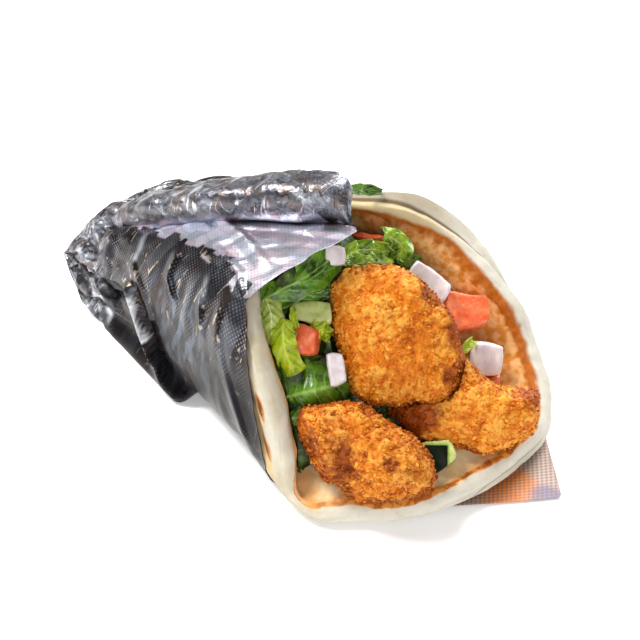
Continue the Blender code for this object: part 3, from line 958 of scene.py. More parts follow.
@dataclass(frozen=True)
class TomatoFinish:
    """Moist cut tomato with paler threads in its flesh."""

    flesh: Colour = srgb(238, 130, 84)
    deep: Colour = srgb(224, 90, 42)
    thread: Colour = srgb(240, 160, 118)

    def material(self) -> bpy.types.Material:
        """Build the material from its colours.

        Returns:
            The material.
        """
        g = Graph("tomato_flesh")
        base = g.layers(self.deep, (g.noise(3.2, 3).step(0.35, 0.68), self.flesh),
                        (g.noise(1.3, 4).step(0.54, 0.74) * 0.6, self.thread))
        return g.dress(base, g.noise(2, 1) * 0.2 + 0.18, (0.2, 0.003, 0.0014, 0.0008),
                       Normal=g.bump(g.noise(1.0, 3), 0.25, 0.5))


@dataclass(frozen=True)
class OnionFinish:
    """Moist white onion with a lilac tinge and faint layers."""

    white: Colour = srgb(226, 220, 220)
    lilac: Colour = srgb(208, 194, 202)
    thread: Colour = srgb(192, 180, 184)

    def material(self) -> bpy.types.Material:
        """Build the material from its colours.

        Returns:
            The material.
        """
        g = Graph("onion_flesh")
        base = g.layers(self.white, (g.noise(4, 2).step(0.35, 0.7), self.lilac),
                        (g.cells(1.6, feature="SMOOTH_F1").step(0.45, 0.75) * 0.35, self.thread))
        return g.dress(base, g.noise(2, 1) * 0.15 + 0.2, (0.25, 0.0025, 0.0022, 0.0022),
                       Normal=g.bump(g.noise(1.4, 2), 0.12, 0.4))


@dataclass(frozen=True)
class CucumberFinish:
    """Pale cucumber flesh with a dark glossy skin and a bright green line under it."""

    flesh: Colour = srgb(200, 206, 134)
    seed: Colour = srgb(168, 182, 98)
    line: Colour = srgb(96, 138, 36)
    skin: Colour = srgb(10, 20, 4)

    def material(self) -> bpy.types.Material:
        """Build the material. It reads the mark rind, which is 1 on the skin.

        Returns:
            The material.
        """
        g = Graph("cucumber_slice")
        rind = g.mark("rind") + g.noise(1.5, 2) * 0.1 - 0.05
        base = g.layers(self.flesh, (g.noise(2.4, 3).step(0.4, 0.7), self.seed),
                        (rind.step(0.25, 0.5) * 0.7, self.line), (rind.step(0.5, 0.6), self.skin))
        return g.dress(base, 0.4, (0.04, 0.001, 0.001, 0.0005), Normal=g.bump(g.noise(1.2, 3), 0.15, 0.4),
                       Specular_IOR_Level=0.12)


@dataclass(frozen=True)
class FloorFinish:
    """Plain pale matt floor."""

    pale: Colour = srgb(246, 246, 246)

    def material(self) -> bpy.types.Material:
        """Build the material from its colour."""
        return Graph("pale_floor").dress(self.pale, 0.9, Emission_Color=self.pale, Emission_Strength=0.25)


# ------------------------------------------------------------------ bread
@dataclass(frozen=True)
class Flatbread:
    """The bread rolled round the filling, open along the top and at the mouth.

    A Pair that ends in from, start or end is where a change starts and where it is complete, and a
    Span that ends in zone is the window of girths that a feature lies in.
    """

    start: float = 36.0
    end: float = 263.5
    tail_x: float = -50.0
    thick: float = 7.6
    inset: float = 0.7
    ply_extra: float = 2.5
    thick_from: Pair = (136.0, 152.0)
    # Thinner top edge as (girth where it starts, where it is complete, share of the thickness lost).
    thin_top: Triple = (238.0, 254.0, 0.5)
    funnel: float = 1.2
    ply_from: Pair = (118.0, 144.0)
    # Outer ply as (girth, share of the thickness, how far its rim lies back, depth of its groove).
    plies: tuple[Span, ...] = (
        (118, 0.4, 0.0, 1.0), (138, 0.4, -0.7, 1.5), (160, 0.4, -0.7, 1.6), (180, 0.3, 0.2, 2.0),
        (205, 0.2, 0.9, 2.4), (228, 0.16, 1.0, 2.6))
    groove: float = 0.7
    # How far the rim opens outward, as (girth, distance).
    flare: tuple[Pair, ...] = (
        (202, 0), (210, 0.6), (220, 2.6), (228, 3.8), (240, 3.8), (246, 3.4), (250, 2.9), (254, 2.1),
        (258, 1.2), (263, 0))
    flare_behind: Pair = (10.0, 4.0)
    rim_round: float = 3.0
    # Pinch at the lip's corner as (girth, half width, share lost), and how far the corner is pushed
    # out as (girth, half width, distance, where that is full and where it ends behind the rim).
    crease: Triple = (101.0, 5.0, 0.65)
    corner: tuple[float, ...] = (98.0, 8.0, 1.2, 8.0, 16.0)
    # Front line as (girth, x), and the depth at which the inside is browned as (girth, depth).
    edge: tuple[Pair, ...] = (
        (36, 17), (44, 23), (50, 28.3), (61, 34.8), (70, 39), (80, 42.5), (91, 46.5), (99, 52), (103, 60),
        (108, 66), (119, 77), (130, 82.3), (142, 85.8), (156, 86.2), (168, 84), (181, 76), (193.5, 65),
        (208.5, 54.5), (222, 43.5), (237.5, 29), (249.5, 22.5), (263.5, 8))
    browned_from: tuple[Pair, ...] = (
        (36, 7.6), (50, 7.4), (61, 7.0), (71, 6.8), (83, 7.0), (89, 6.2), (94, 5.0), (98, 3.4), (103, 7.2),
        (106, 6.3), (112, 4.7), (120, 5.7), (127, 6.8), (136, 7.5), (148, 9.0), (162, 9.2), (181, 9.9), (189, 9.5),
        (195, 9.2), (204, 8.9), (211, 7.8), (219, 7.8), (227, 6.0), (233, 5.0), (239, 5.2), (248, 5.4), (252, 4.5),
        (256, 4.0), (260, 3.2), (264, 3.2))
    rows: int = 210
    rim_points: int = 17
    face_points: int = 26
    near_points: int = 5
    near_spread: float = 0.8
    deep_spread: float = 1.25
    face_depth: float = 44.0
    body_points: int = 5
    swell: float = 0.45
    waver: float = 0.7
    uneven: float = 0.1
    uneven_from: Pair = (25.0, 5.0)
    lip_zone: Span = (40.0, 60.0, 97.0, 103.0)
    lip_ridge: float = 0.55
    floor_zone: Span = (100.0, 112.0, 150.0, 165.0)
    floor_ridge: float = 0.6
    lowest: float = 0.2
    # Blotches of the near lip as (girth, distance behind the rim, length, width), and its thin
    # brown line as (girth, distance behind the rim).
    spots: tuple[Span, ...] = (
        (59, 4.2, 6, 0.6), (73, 5.3, 4.5, 1.1), (87, 6.8, 4.5, 1.4), (47, 2.2, 3, 0.5))
    lip_line: tuple[Pair, ...] = (
        (43.5, 1.1), (50, 2.9), (61.5, 4.5), (69, 5.3), (77, 5.6), (83, 7.2), (88, 6.9), (96, 5.5))
    line_width: float = 0.5
    line_start: Pair = (42.0, 48.0)
    line_end: Pair = (66.0, 74.0)
    ochre_end: Pair = (92.0, 100.0)
    outer_depth: Pair = (-2.5, -1.0)

    def _profile(self) -> tuple[Array, Array, Array]:
        """Ring round the bread's thickness.

        Returns:
            For each point of the ring: its distance behind the rim, its share of the thickness from
            outside, and its share of the way from the end of the near stretch to the tail.
        """
        rim = 0.5 - 0.5 * np.cos(np.pi * np.linspace(0, 1, self.rim_points))
        turn = self.flare_behind[0]
        near = turn * np.linspace(0, 1, self.near_points + 1)[1:] ** self.near_spread
        steps = np.linspace(0, 1, self.face_points - self.near_points + 1)[1:]
        deep = turn + (self.face_depth - turn) * steps ** self.deep_spread
        behind = np.concatenate([near, deep, np.full(self.body_points, self.face_depth)])
        tail = np.concatenate([np.zeros(len(near) + len(deep)), np.linspace(0, 1, self.body_points + 1)[1:]])
        outer, inner = np.zeros(len(behind)), np.ones(len(behind))
        return (np.concatenate([behind[::-1], np.zeros(len(rim)), behind]),
                np.concatenate([outer, rim, inner]), np.concatenate([tail[::-1], np.zeros(len(rim)), tail]))

    def _thickness(self, girth: Array) -> Array:
        """The bread's thickness, with an outer ply on the far side and thin along the top edge."""
        start, end, loss = self.thin_top
        return (self.thick + self.ply_extra * ease(girth, *self.thick_from)) * (1 - loss * ease(girth, start, end))

    def _ply(self, girth: Array) -> tuple[Array, Array, Array]:
        """The outer ply at girths.

        Args:
            girth: Girths of the points.

        Returns:
            Its share of the thickness, how far its rim lies back, and the depth of its groove.
        """
        girths, *values = zip(*self.plies)
        share, back, groove = (np.interp(girth, girths, value) for value in values)
        return share, back, groove

    def _browned(self, girth: Array, share: Array) -> Array:
        """Depth in the bread's thickness past the start of its browned inside, in millimetres."""
        return share * self._thickness(girth) - np.interp(girth, *zip(*self.browned_from))

    def _setback(self, girth: Array, share: Array) -> Array:
        """How far the rounded rim lies behind its front line, further where it opens like a funnel.

        Args:
            girth: Girths of the points.
            share: Their shares of the thickness.

        Returns:
            The distances.
        """
        ply, back, groove = self._ply(girth)
        past = (share - ply) * self._thickness(girth)
        plies = back * ease(past, self.groove, -self.groove) + groove * bell(past, 0.0, self.groove)
        funnel = self.funnel * np.maximum(self._browned(girth, share), 0) * ease(girth, 200, 225)
        return self.rim_round * np.abs(2 * share - 1) ** 3 + ease(girth, *self.ply_from) * plies + funnel

    def build(self) -> bpy.types.Object:
        """Roll a sheet of dough into the bread and press in its folds.

        Returns:
            The bread's object.
        """
        behind, share, tail = self._profile()
        sheet = Bench.sheet("flatbread", len(behind), self.rows)
        flat = Bench.places(sheet)
        column = np.rint((flat[:, 0] + 1) / 2 * len(behind)).astype(int) % len(behind)
        girth = self.start + (flat[:, 1] + 1) / 2 * (self.end - self.start)
        behind, share, tail = behind[column], share[column], tail[column]
        front = smooth_through(self.edge, girth)
        front = front + self.waver * (rough_along(girth, 9, 3.1) + 0.5 * rough_along(girth, 3.5, 8.4))
        setback = behind + self._setback(girth, share) * (1 - behind / self.face_depth)
        x = front - setback
        end = front - self.face_depth
        x = np.where(tail > 0, end + tail * (self.tail_x - end), x)
        middle, half, pinch = self.crease
        thick = self._thickness(girth) * (1 - pinch * bell(girth, middle, half))
        thick = thick * (1 + self.uneven * rough_along(girth, 13, 5.7) * ease(setback, *self.uneven_from))
        flare = np.interp(girth, *zip(*self.flare)) * (1 - ease(setback, self.flare_behind[1], self.flare_behind[0]))
        depth = thick * share - flare * np.maximum(1 - share / self._ply(girth)[0], 0)
        middle, half, push, push_full, push_end = self.corner
        push = push * bell(girth, middle, half) * (1 - ease(setback, push_full, push_end))
        depth = depth + self._folds(girth, setback, share) - push
        points = SKIN.point(girth, x, self.inset + depth)
        points[:, 2] = np.maximum(points[:, 2], SKIN.floor_z)
        Bench.lay(sheet, points)
        self._mark(sheet, girth, behind, setback, share)
        self._close(sheet)
        Bench.finish(sheet, "SUBSURF", levels=1, render_levels=1)
        self._knead(sheet)
        Bench.smooth(sheet)
        return sheet

    def _folds(self, girth: Array, behind: Array, share: Array) -> Array:
        """Soft folds of the two faces, as depths.

        Args:
            girth: Girths of the points.
            behind: Their distances behind the rim.
            share: Their shares of the thickness.

        Returns:
            How much deeper each point lies.
        """
        lip = within(girth, self.lip_zone) * np.sin(behind * 1.05 + girth * 0.06) * ease(behind, 0.5, 3)
        wave = np.abs(np.sin(behind * 0.33 + np.sin(girth * 0.12) * 1.3)) * ease(behind, 2, 8)
        return self.lip_ridge * lip - self.floor_ridge * within(girth, self.floor_zone) * share * wave

    def _mark(self, sheet: bpy.types.Object, girth: Array, behind: Array, setback: Array, share: Array) -> None:
        """Store where each vertex lies on the bread, for the finish.

        Args:
            sheet: The bread.
            girth: Girths of its vertices.
            behind: Their places on the faces, from the rim.
            setback: Their distances behind the front line.
            share: Their shares of the thickness.
        """
        into = self._browned(girth, share) + np.where(share > 0.99, behind, 0)
        line = setback - np.interp(girth, *zip(*self.lip_line))
        near = ease(girth, *self.line_start) * (into < self.outer_depth[0])
        spots = 0.8 * bell(line, 0.0, self.line_width) * near * (1 - ease(girth, *self.line_end))
        for middle, back, length, width in self.spots:
            far = ((girth - middle) / length) ** 2 + ((setback - back) / width) ** 2
            spots = np.maximum(spots, 1.7 * np.exp(-far) * (into < self.outer_depth[1]))
        ply = (share - self._ply(girth)[0]) * self._thickness(girth) + 9 * (1 - ease(girth, *self.ply_from))
        # Where the near lip's outer face is painted lighter ochre, to lift the shade there.
        under = ease(line, -0.5, 1.5) * near * (1 - ease(girth, *self.ochre_end))
        Bench.mark(sheet, into=into, girth=girth, spots=spots, under=under, ply=ply)

    @staticmethod
    def _close(sheet: bpy.types.Object) -> None:
        """Join the ring's ends and fill the two long edges under the foil.

        Args:
            sheet: The bread.
        """
        with Bench.editing(sheet):
            bpy.ops.mesh.remove_doubles(threshold=WELD)
            bpy.ops.mesh.select_all(action="DESELECT")
            bpy.ops.mesh.select_non_manifold()
            bpy.ops.mesh.fill()
            bpy.ops.mesh.select_all(action="SELECT")
            bpy.ops.mesh.normals_make_consistent(inside=False)

    def _knead(self, sheet: bpy.types.Object) -> None:
        """Swell and dimple the dough's surface.

        Args:
            sheet: The bread.
        """
        layout, normals = Bench.surface(sheet)
        height = self.swell * (rough(layout, 9, 2.2) + 0.4 * rough(layout, 3, 6.1) - 0.5)
        moved = layout + normals * height[:, None]
        moved[:, 2] = np.maximum(moved[:, 2], self.lowest)
        Bench.lay(sheet, moved)


# ------------------------------------------------------------------ foil
@dataclass(frozen=True)
class Crumple:
    """Flat facets at random heights, as in a sheet that was crumpled and pulled out again."""

    size: Pair
    turn: float
    height: float
    seed: int
    warp: float = 0.45

    def heights(self, along: Array, across: Array) -> Array:
        """Heights of the facets.

        Args:
            along: Places along the sheet in millimetres.
            across: Places across it.

        Returns:
            Heights from 0 to the crumple's own height.
        """
        table = np.random.default_rng(self.seed).random(4096)
        cos, sin = math.cos(math.radians(self.turn)), math.sin(math.radians(self.turn))
        a = (along * cos + across * sin) / self.size[0]
        b = (across * cos - along * sin) / self.size[1]
        a = a + self.warp * np.sin(1.7 * b + self.seed) + 0.5 * self.warp * np.sin(3.1 * b - a)
        b = b + self.warp * np.sin(1.3 * a + 2 * self.seed)
        i, j = np.floor(a).astype(int), np.floor(b).astype(int)
        fa, fb = a - i, b - j

        def corner(di: int, dj: int) -> Array:
            """Random height of a corner of each place's facet."""
            return table[((i + di) * 73 + (j + dj) * 179) % len(table)]

        low = corner(0, 0) + fa * (corner(1, 0) - corner(0, 0)) + fb * (corner(0, 1) - corner(0, 0))
        high = corner(1, 1) + (1 - fa) * (corner(0, 1) - corner(1, 1)) + (1 - fb) * (corner(1, 0) - corner(1, 1))
        return self.height * np.where(fa + fb < 1, low, high)


@dataclass(frozen=True)
class Fold:
    """A folded ridge of the foil through places given as (girth, x), or a groove if it is below 0."""

    marks: tuple[Pair, ...]
    height: float
    width: float
    steep: float = 0.4

    def heights(self, girth: Array, x: Array) -> Array:
        """Height of the ridge at each place, steeper on the side towards the mouth.

        Args:
            girth: Girths of the places.
            x: Their x.

        Returns:
            The heights.
        """
        total = np.zeros(len(girth))
        last = len(self.marks) - 2
        for i, (start, end) in enumerate(zip(self.marks, self.marks[1:])):
            run = np.array(end) - np.array(start)
            length = float(np.hypot(*run))
            ahead = ((girth - start[0]) * run[0] + (x - start[1]) * run[1]) / length
            aside = ((girth - start[0]) * run[1] - (x - start[1]) * run[0]) / length
            past = np.maximum(np.maximum(-ahead, ahead - length), 0)
            slope = np.where(aside > 0, aside / self.width, -aside / (self.steep * self.width))
            slope = np.hypot(slope, past / (0.5 * self.width))
            crest = np.maximum(1 - np.sqrt(slope * slope + 0.015) + 0.12, 0)
            fade = np.ones(len(girth))
            if i == 0:
                fade = fade * ease(ahead, 0, 0.4 * length)
            if i == last:
                fade = fade * (1 - ease(ahead, 0.75 * length, 1.1 * length))
            total = np.maximum(total, crest * fade)
        return self.height * total


@dataclass(frozen=True)
class FoilSheet:
    """The foil: a tube round the bread, crumpled into a roll on top and folded shut at the tail.

    A Pair such as low_wall is where a change starts and where it is complete, and a Span that ends
    in zone is the window of girths that a feature lies in.
    """

    inset: float = -0.55
    thick: float = 0.2
    end_x: float = -58.0
    tip: Triple = (-78.0, -44.0, 19.0)
    tail_curl: float = 2.0
    tail_crumple: float = 2.6
    seam: float = 131.0
    # Open edge as (girth, x), and the roll's crest as (x, girth, height).
    edge: tuple[Pair, ...] = (
        (2.3, 31.5), (24, 28.8), (34, 25), (43, 22), (50, 27), (60, 30.6), (72, 32.2), (88, 36), (93, 37.5),
        (97, 37), (104, 42), (115, 57), (128, 74), (154.2, 100.5), (164.6, 86.8), (173.5, 76), (196.5, 50),
        (222, 25), (236, 10), (249.5, 3), (264.5, 6), (273, 16), (280, 24))
    crest: tuple[Triple, ...] = (
        (-66, 31, 0), (-52, 25, 5), (-40, 21, 8), (-8, 7, 10.5), (4, 1, 11), (13, -3, 11), (20, -9, 10.5),
        (32, -12, 9))
    # Roll's half widths on its near and its far side, and its end as (length, share of height left).
    roll_widths: Pair = (10.0, 20.0)
    roll_lean: float = 0.45
    roll_end: Pair = (9.0, 0.35)
    # Skirt as (girth, half width, how far it stands out, x at which it ends).
    skirt: Span = (98.0, 8.0, 6.4, -9.0)
    skirt_fade: Pair = (3.0, 4.0)
    hug: float = 9.0
    hug_share: float = 0.85
    hug_zone: Span = (38.0, 46.0, 96.0, 102.0)
    bound_zone: Span = (104.0, 112.0, 178.0, 186.0)
    # Fray of the loose edge as (size, seed, depth), and where columns are sparser as (zone, share left out).
    fray: Triple = (4.5, 1.7, 0.8)
    sparse: tuple[tuple[Span, float], ...] = (
        ((106.0, 114.0, 146.0, 160.0), 0.75), ((170.0, 185.0, 240.0, 255.0), 0.35))
    sides_zone: Span = (34.0, 50.0, 250.0, 262.0)
    low_wall: Pair = (56.0, 70.0)
    far_wall: Pair = (168.0, 200.0)
    smooth_far: tuple[Pair, Pair] = ((214.0, 232.0), (-20.0, 0.0))
    crushed_tail: Pair = (-30.0, -56.0)
    wall_zone: Span = (36.0, 52.0, 96.0, 103.0)
    floor_zone: Span = (100.0, 107.0, 160.0, 176.0)
    skirt_zone: Span = (87.0, 97.0, 97.0, 104.0)
    flap_zone: Span = (100.0, 106.0, 172.0, 184.0)
    crest_flat: float = 0.2
    # Spots of the flat corner painted with reflections, of the browned bread and of blue at its tip, as (x, y, half
    # length, half width).
    bread_reflection: Span = (87.0, -7.0, 10.0, 11.0)
    flap_tip: Span = (99.0, -2.0, 8.0, 6.0)
    rows: int = 116
    row_spread: float = 1.08
    tail_rows: int = 26
    tail_run: float = 24.0
    lowest: float = 0.1
    sharp: float = 40.0
    columns: int = 326
    folds: tuple[Fold, ...] = (
        Fold(((56, -38), (66, -34), (77, -31), (88, -26.5), (95, -14), (97, -6)), 4.2, 5.0),
        Fold(((70, -28), (85, -23.5), (90, -17), (96, -6)), -3.2, 3.5, 0.8),
        Fold(((60, -78), (71, -66)), -3.0, 4.0, 1.0), Fold(((66, -60), (72, -51), (66, -39)), -2.0, 3.0, 1.0),
        Fold(((37, -16), (48, -17), (56, -10)), 1.2, 3.5), Fold(((44, 3), (60, 7)), 1.1, 3.0),
        Fold(((42, 12), (66, 19), (90, 30)), 0.8, 4.5), Fold(((30, -8), (36, 14), (42, 20)), 0.9, 4.0),
        Fold(((12, -30), (22, 0), (30, 22)), 0.8, 4.0), Fold(((48, -40), (58, -30), (80, -26)), 1.0, 4.0))
    # Grooves and hollows painted dark as shade, as folds through (girth, x).
    dark_folds: tuple[Fold, ...] = (
        Fold(((71, -27), (85, -24.9), (88.7, -21.2), (91.5, -14.2), (96, -6)), 1.0, 3.4, 0.8),
        Fold(((60, -77), (69, -71.8), (71.5, -66)), 1.0, 3.0, 1.0),
        Fold(((66, -60), (68, -56), (72.6, -51), (65, -39)), 1.0, 2.2, 1.0),
        Fold(((30, -67), (24, -29.5)), 0.5, 1.6, 1.0), Fold(((17, -12), (12, 0), (8, 13), (0.5, 24)), 1.0, 2.0, 1.0))
    # Painted highlights along ridges, as folds through (girth, x).
    glints: tuple[Fold, ...] = (
        Fold(((61, -36), (65.6, -34.1), (71.9, -33), (77.5, -30.9), (82, -28.5)), 0.9, 1.0, 1.0),
        Fold(((52, -72), (56, -70)), 1.0, 2.5, 1.0), Fold(((76, -63), (84, -61)), 1.0, 2.5, 1.0),
        Fold(((90, -60), (92, -54)), 1.0, 2.0, 1.0), Fold(((86, -38), (92, -24)), 0.8, 2.4, 1.0),
        Fold(((35, -38), (43, -37.3), (49.5, -38)), 0.6, 1.6, 1.0), Fold(((40, 1), (50, 5)), 0.6, 1.6, 1.0))
    # Painted blue reflection on the wall as (girth, x, half width, half length).
    sheen: Span = (68.0, -7.0, 17.0, 17.0)
    # Girths where the top band, painted bright as a reflection, fades into the wall.
    band_edge: Pair = (26.0, 42.0)
    # How far the painted bright band's lower edge drops, in girth, and between which x.
    band_drop: Triple = (6.0, -4.0, 22.0)
    band_end: Pair = (-48.0, -66.0)
    roll_height: Pair = (1.2, 3.5)
    # Where the tail's painted dark hollows and highlights, and its stronger crumple, fade in.
    dark_tail: Pair = (-48.0, -60.0)
    folded_tail: Pair = (-52.0, -66.0)
    flap_start: Pair = (52.0, 62.0)
    # The lower wall keeps this share of the embossed dots, and is painted darker, as shade, where they thin out.
    fewest_dots: float = 0.15
    dots_end: Pair = (50.0, 72.0)
    dots_again: Pair = (185.0, 215.0)
    # Coarse and fine crumples of the upper and lower wall, the top, the roll, the far side and the tail.
    crumples: tuple[tuple[Crumple, Crumple], ...] = (
        (Crumple((26, 8), 110, 1.0, 11), Crumple((10, 4.5), 104, 0.5, 5)),
        (Crumple((32, 9), 74, 0.8, 13), Crumple((14, 5), 70, 0.3, 29)),
        (Crumple((38, 6), -28, 0.8, 23), Crumple((13, 5), -50, 0.6, 8)),
        (Crumple((12, 6.5), 62, 1.7, 31), Crumple((5, 3.2), 35, 0.9, 17)),
        (Crumple((24, 8), -40, 1.6, 41), Crumple((8, 4), 20, 0.6, 47)),
        (Crumple((14, 8), 12, 3.0, 61), Crumple((6, 4), -24, 1.2, 67)))
    mean_pleat: float = 0.8
    pleated_tail: Pair = (-50.0, -64.0)
    pleats: tuple[Crumple, Crumple] = (Crumple((9, 6), 20, 1.0, 71), Crumple((4.5, 3.5), -35, 0.6, 73))

    def _stations(self) -> Array:
        """Where the tube's columns run, wider apart on the floor and on the far side.

        Returns:
            Their girths from the seam once round.
        """
        girth = self.seam + np.linspace(0, 1, 4001) * SKIN.girth
        density = np.ones(len(girth))
        for span, less in self.sparse:
            density = density * (1 - less * within(girth % SKIN.girth, span))
        walked = np.concatenate([[0], np.cumsum((density[1:] + density[:-1]) / 2)])
        return np.interp(np.linspace(0, walked[-1], self.columns + 1), walked, girth)

    def _edge_x(self, girth: Array) -> Array:
        """The open edge, straight between its marks and closed round the wrap.

        Args:
            girth: Girths along it.

        Returns:
            Its x, frayed where the foil is loose.
        """
        marks = [(self.edge[-1][0] - SKIN.girth, self.edge[-1][1]), *self.edge,
                 (self.edge[0][0] + SKIN.girth, self.edge[0][1])]
        places, values = zip(*marks)
        size, seed, depth = self.fray
        loose = 1 - within(girth, self.bound_zone)
        return np.interp(girth, places, values) + loose * depth * rough_along(girth, size, seed)

    def _roll(self, girth: Array, x: Array) -> tuple[Array, Array]:
        """The roll that stands along the top.

        Args:
            girth: Girths of the places.
            x: Their x.

        Returns:
            Its height, and how far it bulges over to the near side.
        """
        xs, crests, tops = zip(*self.crest)
        crest, top = np.interp(x, xs, crests), np.interp(x, xs, tops)
        length, left = self.roll_end
        near_end = 1 - np.clip((self._edge_x(girth) - x) / length, 0, 1)
        top = top * (left + (1 - left) * np.sqrt(1 - near_end ** 2))
        away = (girth - crest + SKIN.girth / 2) % SKIN.girth - SKIN.girth / 2
        share = np.abs(away) / np.where(away > 0, *self.roll_widths)
        height = top * (1 - ease(share, self.crest_flat, 1.0))
        return height, self.roll_lean * top * np.sin(np.pi * np.clip(share, 0, 1)) * (away > 0)

    def _skirt(self, girth: Array, x: Array) -> Array:
        """The crumpled skirt along the near corner of the floor.

        Args:
            girth: Girths of the places.
            x: Their x.

        Returns:
            How far it stands out.
        """
        middle, half, out, end_x = self.skirt
        along = 1 - ease(x, end_x - self.skirt_fade[0], end_x + self.skirt_fade[1])
        return out * along * (1 - ease(np.abs(girth - middle) / half, self.crest_flat, 1))

    def _crumples(self, girth: Array, x: Array, run: Array) -> Array:
        """Height of all crumples and folds over the smooth tube.

        Args:
            girth: Girths of the places.
            x: Their x.
            run: How far into the tail they lie, from 0 to 1.

        Returns:
            The heights, never below the tube.
        """
        top = 1 - ease(girth, *self.sides_zone[:2]) + ease(girth, *self.sides_zone[2:])
        roll = ease(self._roll(girth, x)[0], 1.0, 4)
        wall = within(girth, self.wall_zone)
        smooth = ease(girth, *self.smooth_far[0]) * ease(x, *self.smooth_far[1])
        far = ease(girth, *self.far_wall) * (1 - top) * (1 - smooth)
        low, tail = ease(girth, *self.low_wall), ease(x, *self.crushed_tail)
        zones = (wall * (1 - low), wall * low, top * (1 - roll), roll, far, tail)
        height = sum(zone * (large.heights(x, girth) + small.heights(x, girth))
                     for zone, (large, small) in zip(zones, self.crumples, strict=True))
        height = height + sum(fold.heights(girth, x) for fold in self.folds) * (1 - ease(run, 0.3, 0.9))
        height = height * (1 - within(girth, self.skirt_zone) * self._skirt(girth, x) / self.skirt[2])
        floor = within(girth, self.floor_zone)
        return np.maximum(height * (1 - floor) * (1 - 0.7 * ease(run, 0.75, 1.0)), 0)

    def build(self) -> bpy.types.Object:
        """Wrap a sheet of foil round the bread, crumple it and fold its tail shut.

        Returns:
            The foil's object.
        """
        all_rows = self.rows + self.tail_rows
        sheet = Bench.sheet("foil_wrapper", self.columns, all_rows)
        flat = Bench.places(sheet)
        stations = self._stations()
        column = np.rint((flat[:, 0] + 1) / 2 * self.columns).astype(int)
        row = np.rint((flat[:, 1] + 1) / 2 * all_rows).astype(int)
        unrolled, girth = stations[column], stations[column] % SKIN.girth
        back = np.clip(row / self.rows, 0, 1)
        run = np.clip((row - self.rows) / self.tail_rows, 0, 1)
        edge = self._edge_x(girth)
        x = edge + back ** self.row_spread * (self.end_x - edge)
        sheet_x = x - run * self.tail_run
        height, lean = self._roll(girth, x)
        out = height + self._skirt(girth, x) + self._crumples(girth, sheet_x, run)
        hug = (1 - ease(edge - x, 0, self.hug)) * within(girth, self.hug_zone)
        points = SKIN.point(girth + lean, x, (self.inset - out) * (1 - self.hug_share * hug))
        points = self._tail(points, girth, sheet_x, run)
        points[:, 2] = np.maximum(points[:, 2], self.lowest + self.thick)
        Bench.lay(sheet, points)
        self._unwrap(sheet, unrolled, sheet_x)
        self._mark(sheet, girth, sheet_x)
        with Bench.editing(sheet):
            bpy.ops.mesh.remove_doubles(threshold=WELD)
            bpy.ops.mesh.normals_make_consistent(inside=False)
        Bench.finish(sheet, "SOLIDIFY", thickness=self.thick * MM, offset=1.0, use_even_offset=False)
        Bench.smooth(sheet, self.sharp)
        return sheet

    def _tail(self, points: Array, girth: Array, x: Array, run: Array) -> Array:
        """Points of the tail drawn together to its tip and scrunched.

        Args:
            points: The points as a straight tube.
            girth: Their girths.
            x: Their places along the flat sheet.
            run: How far into the tail they lie, from 0 to 1.

        Returns:
            The moved points.
        """
        middle_y, middle_z, *_ = SKIN.sizes(np.array([self.end_x]), 0.0)
        middle = np.array([self.end_x, middle_y[0], middle_z[0]])
        reach = np.array(self.tip) - middle
        centre = middle + reach * np.stack([run, run ** self.tail_curl, run], -1)
        drawn = np.where(run[:, None] > 0, centre + (points - middle) * (1 - run * run)[:, None], points)
        outward = drawn - centre
        outward /= np.maximum(np.linalg.norm(outward, axis=1, keepdims=True), 1.0)
        pleats = sum(crumple.heights(x, girth) for crumple in self.pleats)
        share = self.tail_crumple * (pleats - self.mean_pleat) * ease(x, *self.pleated_tail) * (1 - run ** 5)
        return drawn + outward * share[:, None]

    @staticmethod
    def _unwrap(sheet: bpy.types.Object, unrolled: Array, x: Array) -> None:
        """Give the sheet the UV map named sheet, laid flat, in metres.

        Args:
            sheet: The foil.
            unrolled: Girths of its vertices, counted on past the seam.
            x: Their places along the flat sheet.
        """
        layer = sheet.data.uv_layers.new(name="sheet")
        corners = np.zeros(len(sheet.data.loops), int)
        sheet.data.loops.foreach_get("vertex_index", corners)
        layer.data.foreach_set("uv", (np.stack([x, unrolled], -1)[corners] * MM).ravel())

    def _mark(self, sheet: bpy.types.Object, girth: Array, x: Array) -> None:
        """Store the foil's zones, such as its top band that is painted bright, its roll, its tail and its flap, and
        where shade, highlights and reflections are painted on it.

        Args:
            sheet: The foil.
            girth: Girths of its vertices.
            x: Their places along the flat sheet.
        """
        roll = ease(self._roll(girth, x)[0], *self.roll_height)
        across = SKIN.point(girth, x)[:, 1]
        bread_reflection, tip = (1 - ease(np.hypot((x - at_x) / long, (across - at_y) / wide), 0.6, 1)
                     for at_x, at_y, long, wide in (self.bread_reflection, self.flap_tip))
        deep, glint = (np.clip(np.max([fold.heights(girth, x) for fold in folds], axis=0), 0, 1)
                       for folds in (self.dark_folds, self.glints))
        middle, at, half, reach = self.sheen
        drop, drop_from, drop_to = self.band_drop
        bright = 1 - ease(girth - drop * ease(x, drop_from, drop_to), *self.band_edge)
        dots = np.maximum(1 - ease(girth, *self.dots_end), ease(girth, *self.dots_again))
        Bench.mark(sheet, tail=ease(x, *self.dark_tail), top=bright * (1 - ease(x, *self.band_end)),
                   fold=np.maximum(roll, ease(x, *self.folded_tail)), deep=deep, glint=glint, bread_reflection=bread_reflection, tip=tip,
                   flap=within(girth, self.flap_zone) * ease(x, *self.flap_start),
                   sheen=np.exp(-((girth - middle) / half) ** 2 - ((x - at) / reach) ** 2),
                   dotted=self.fewest_dots + (1 - self.fewest_dots) * dots)


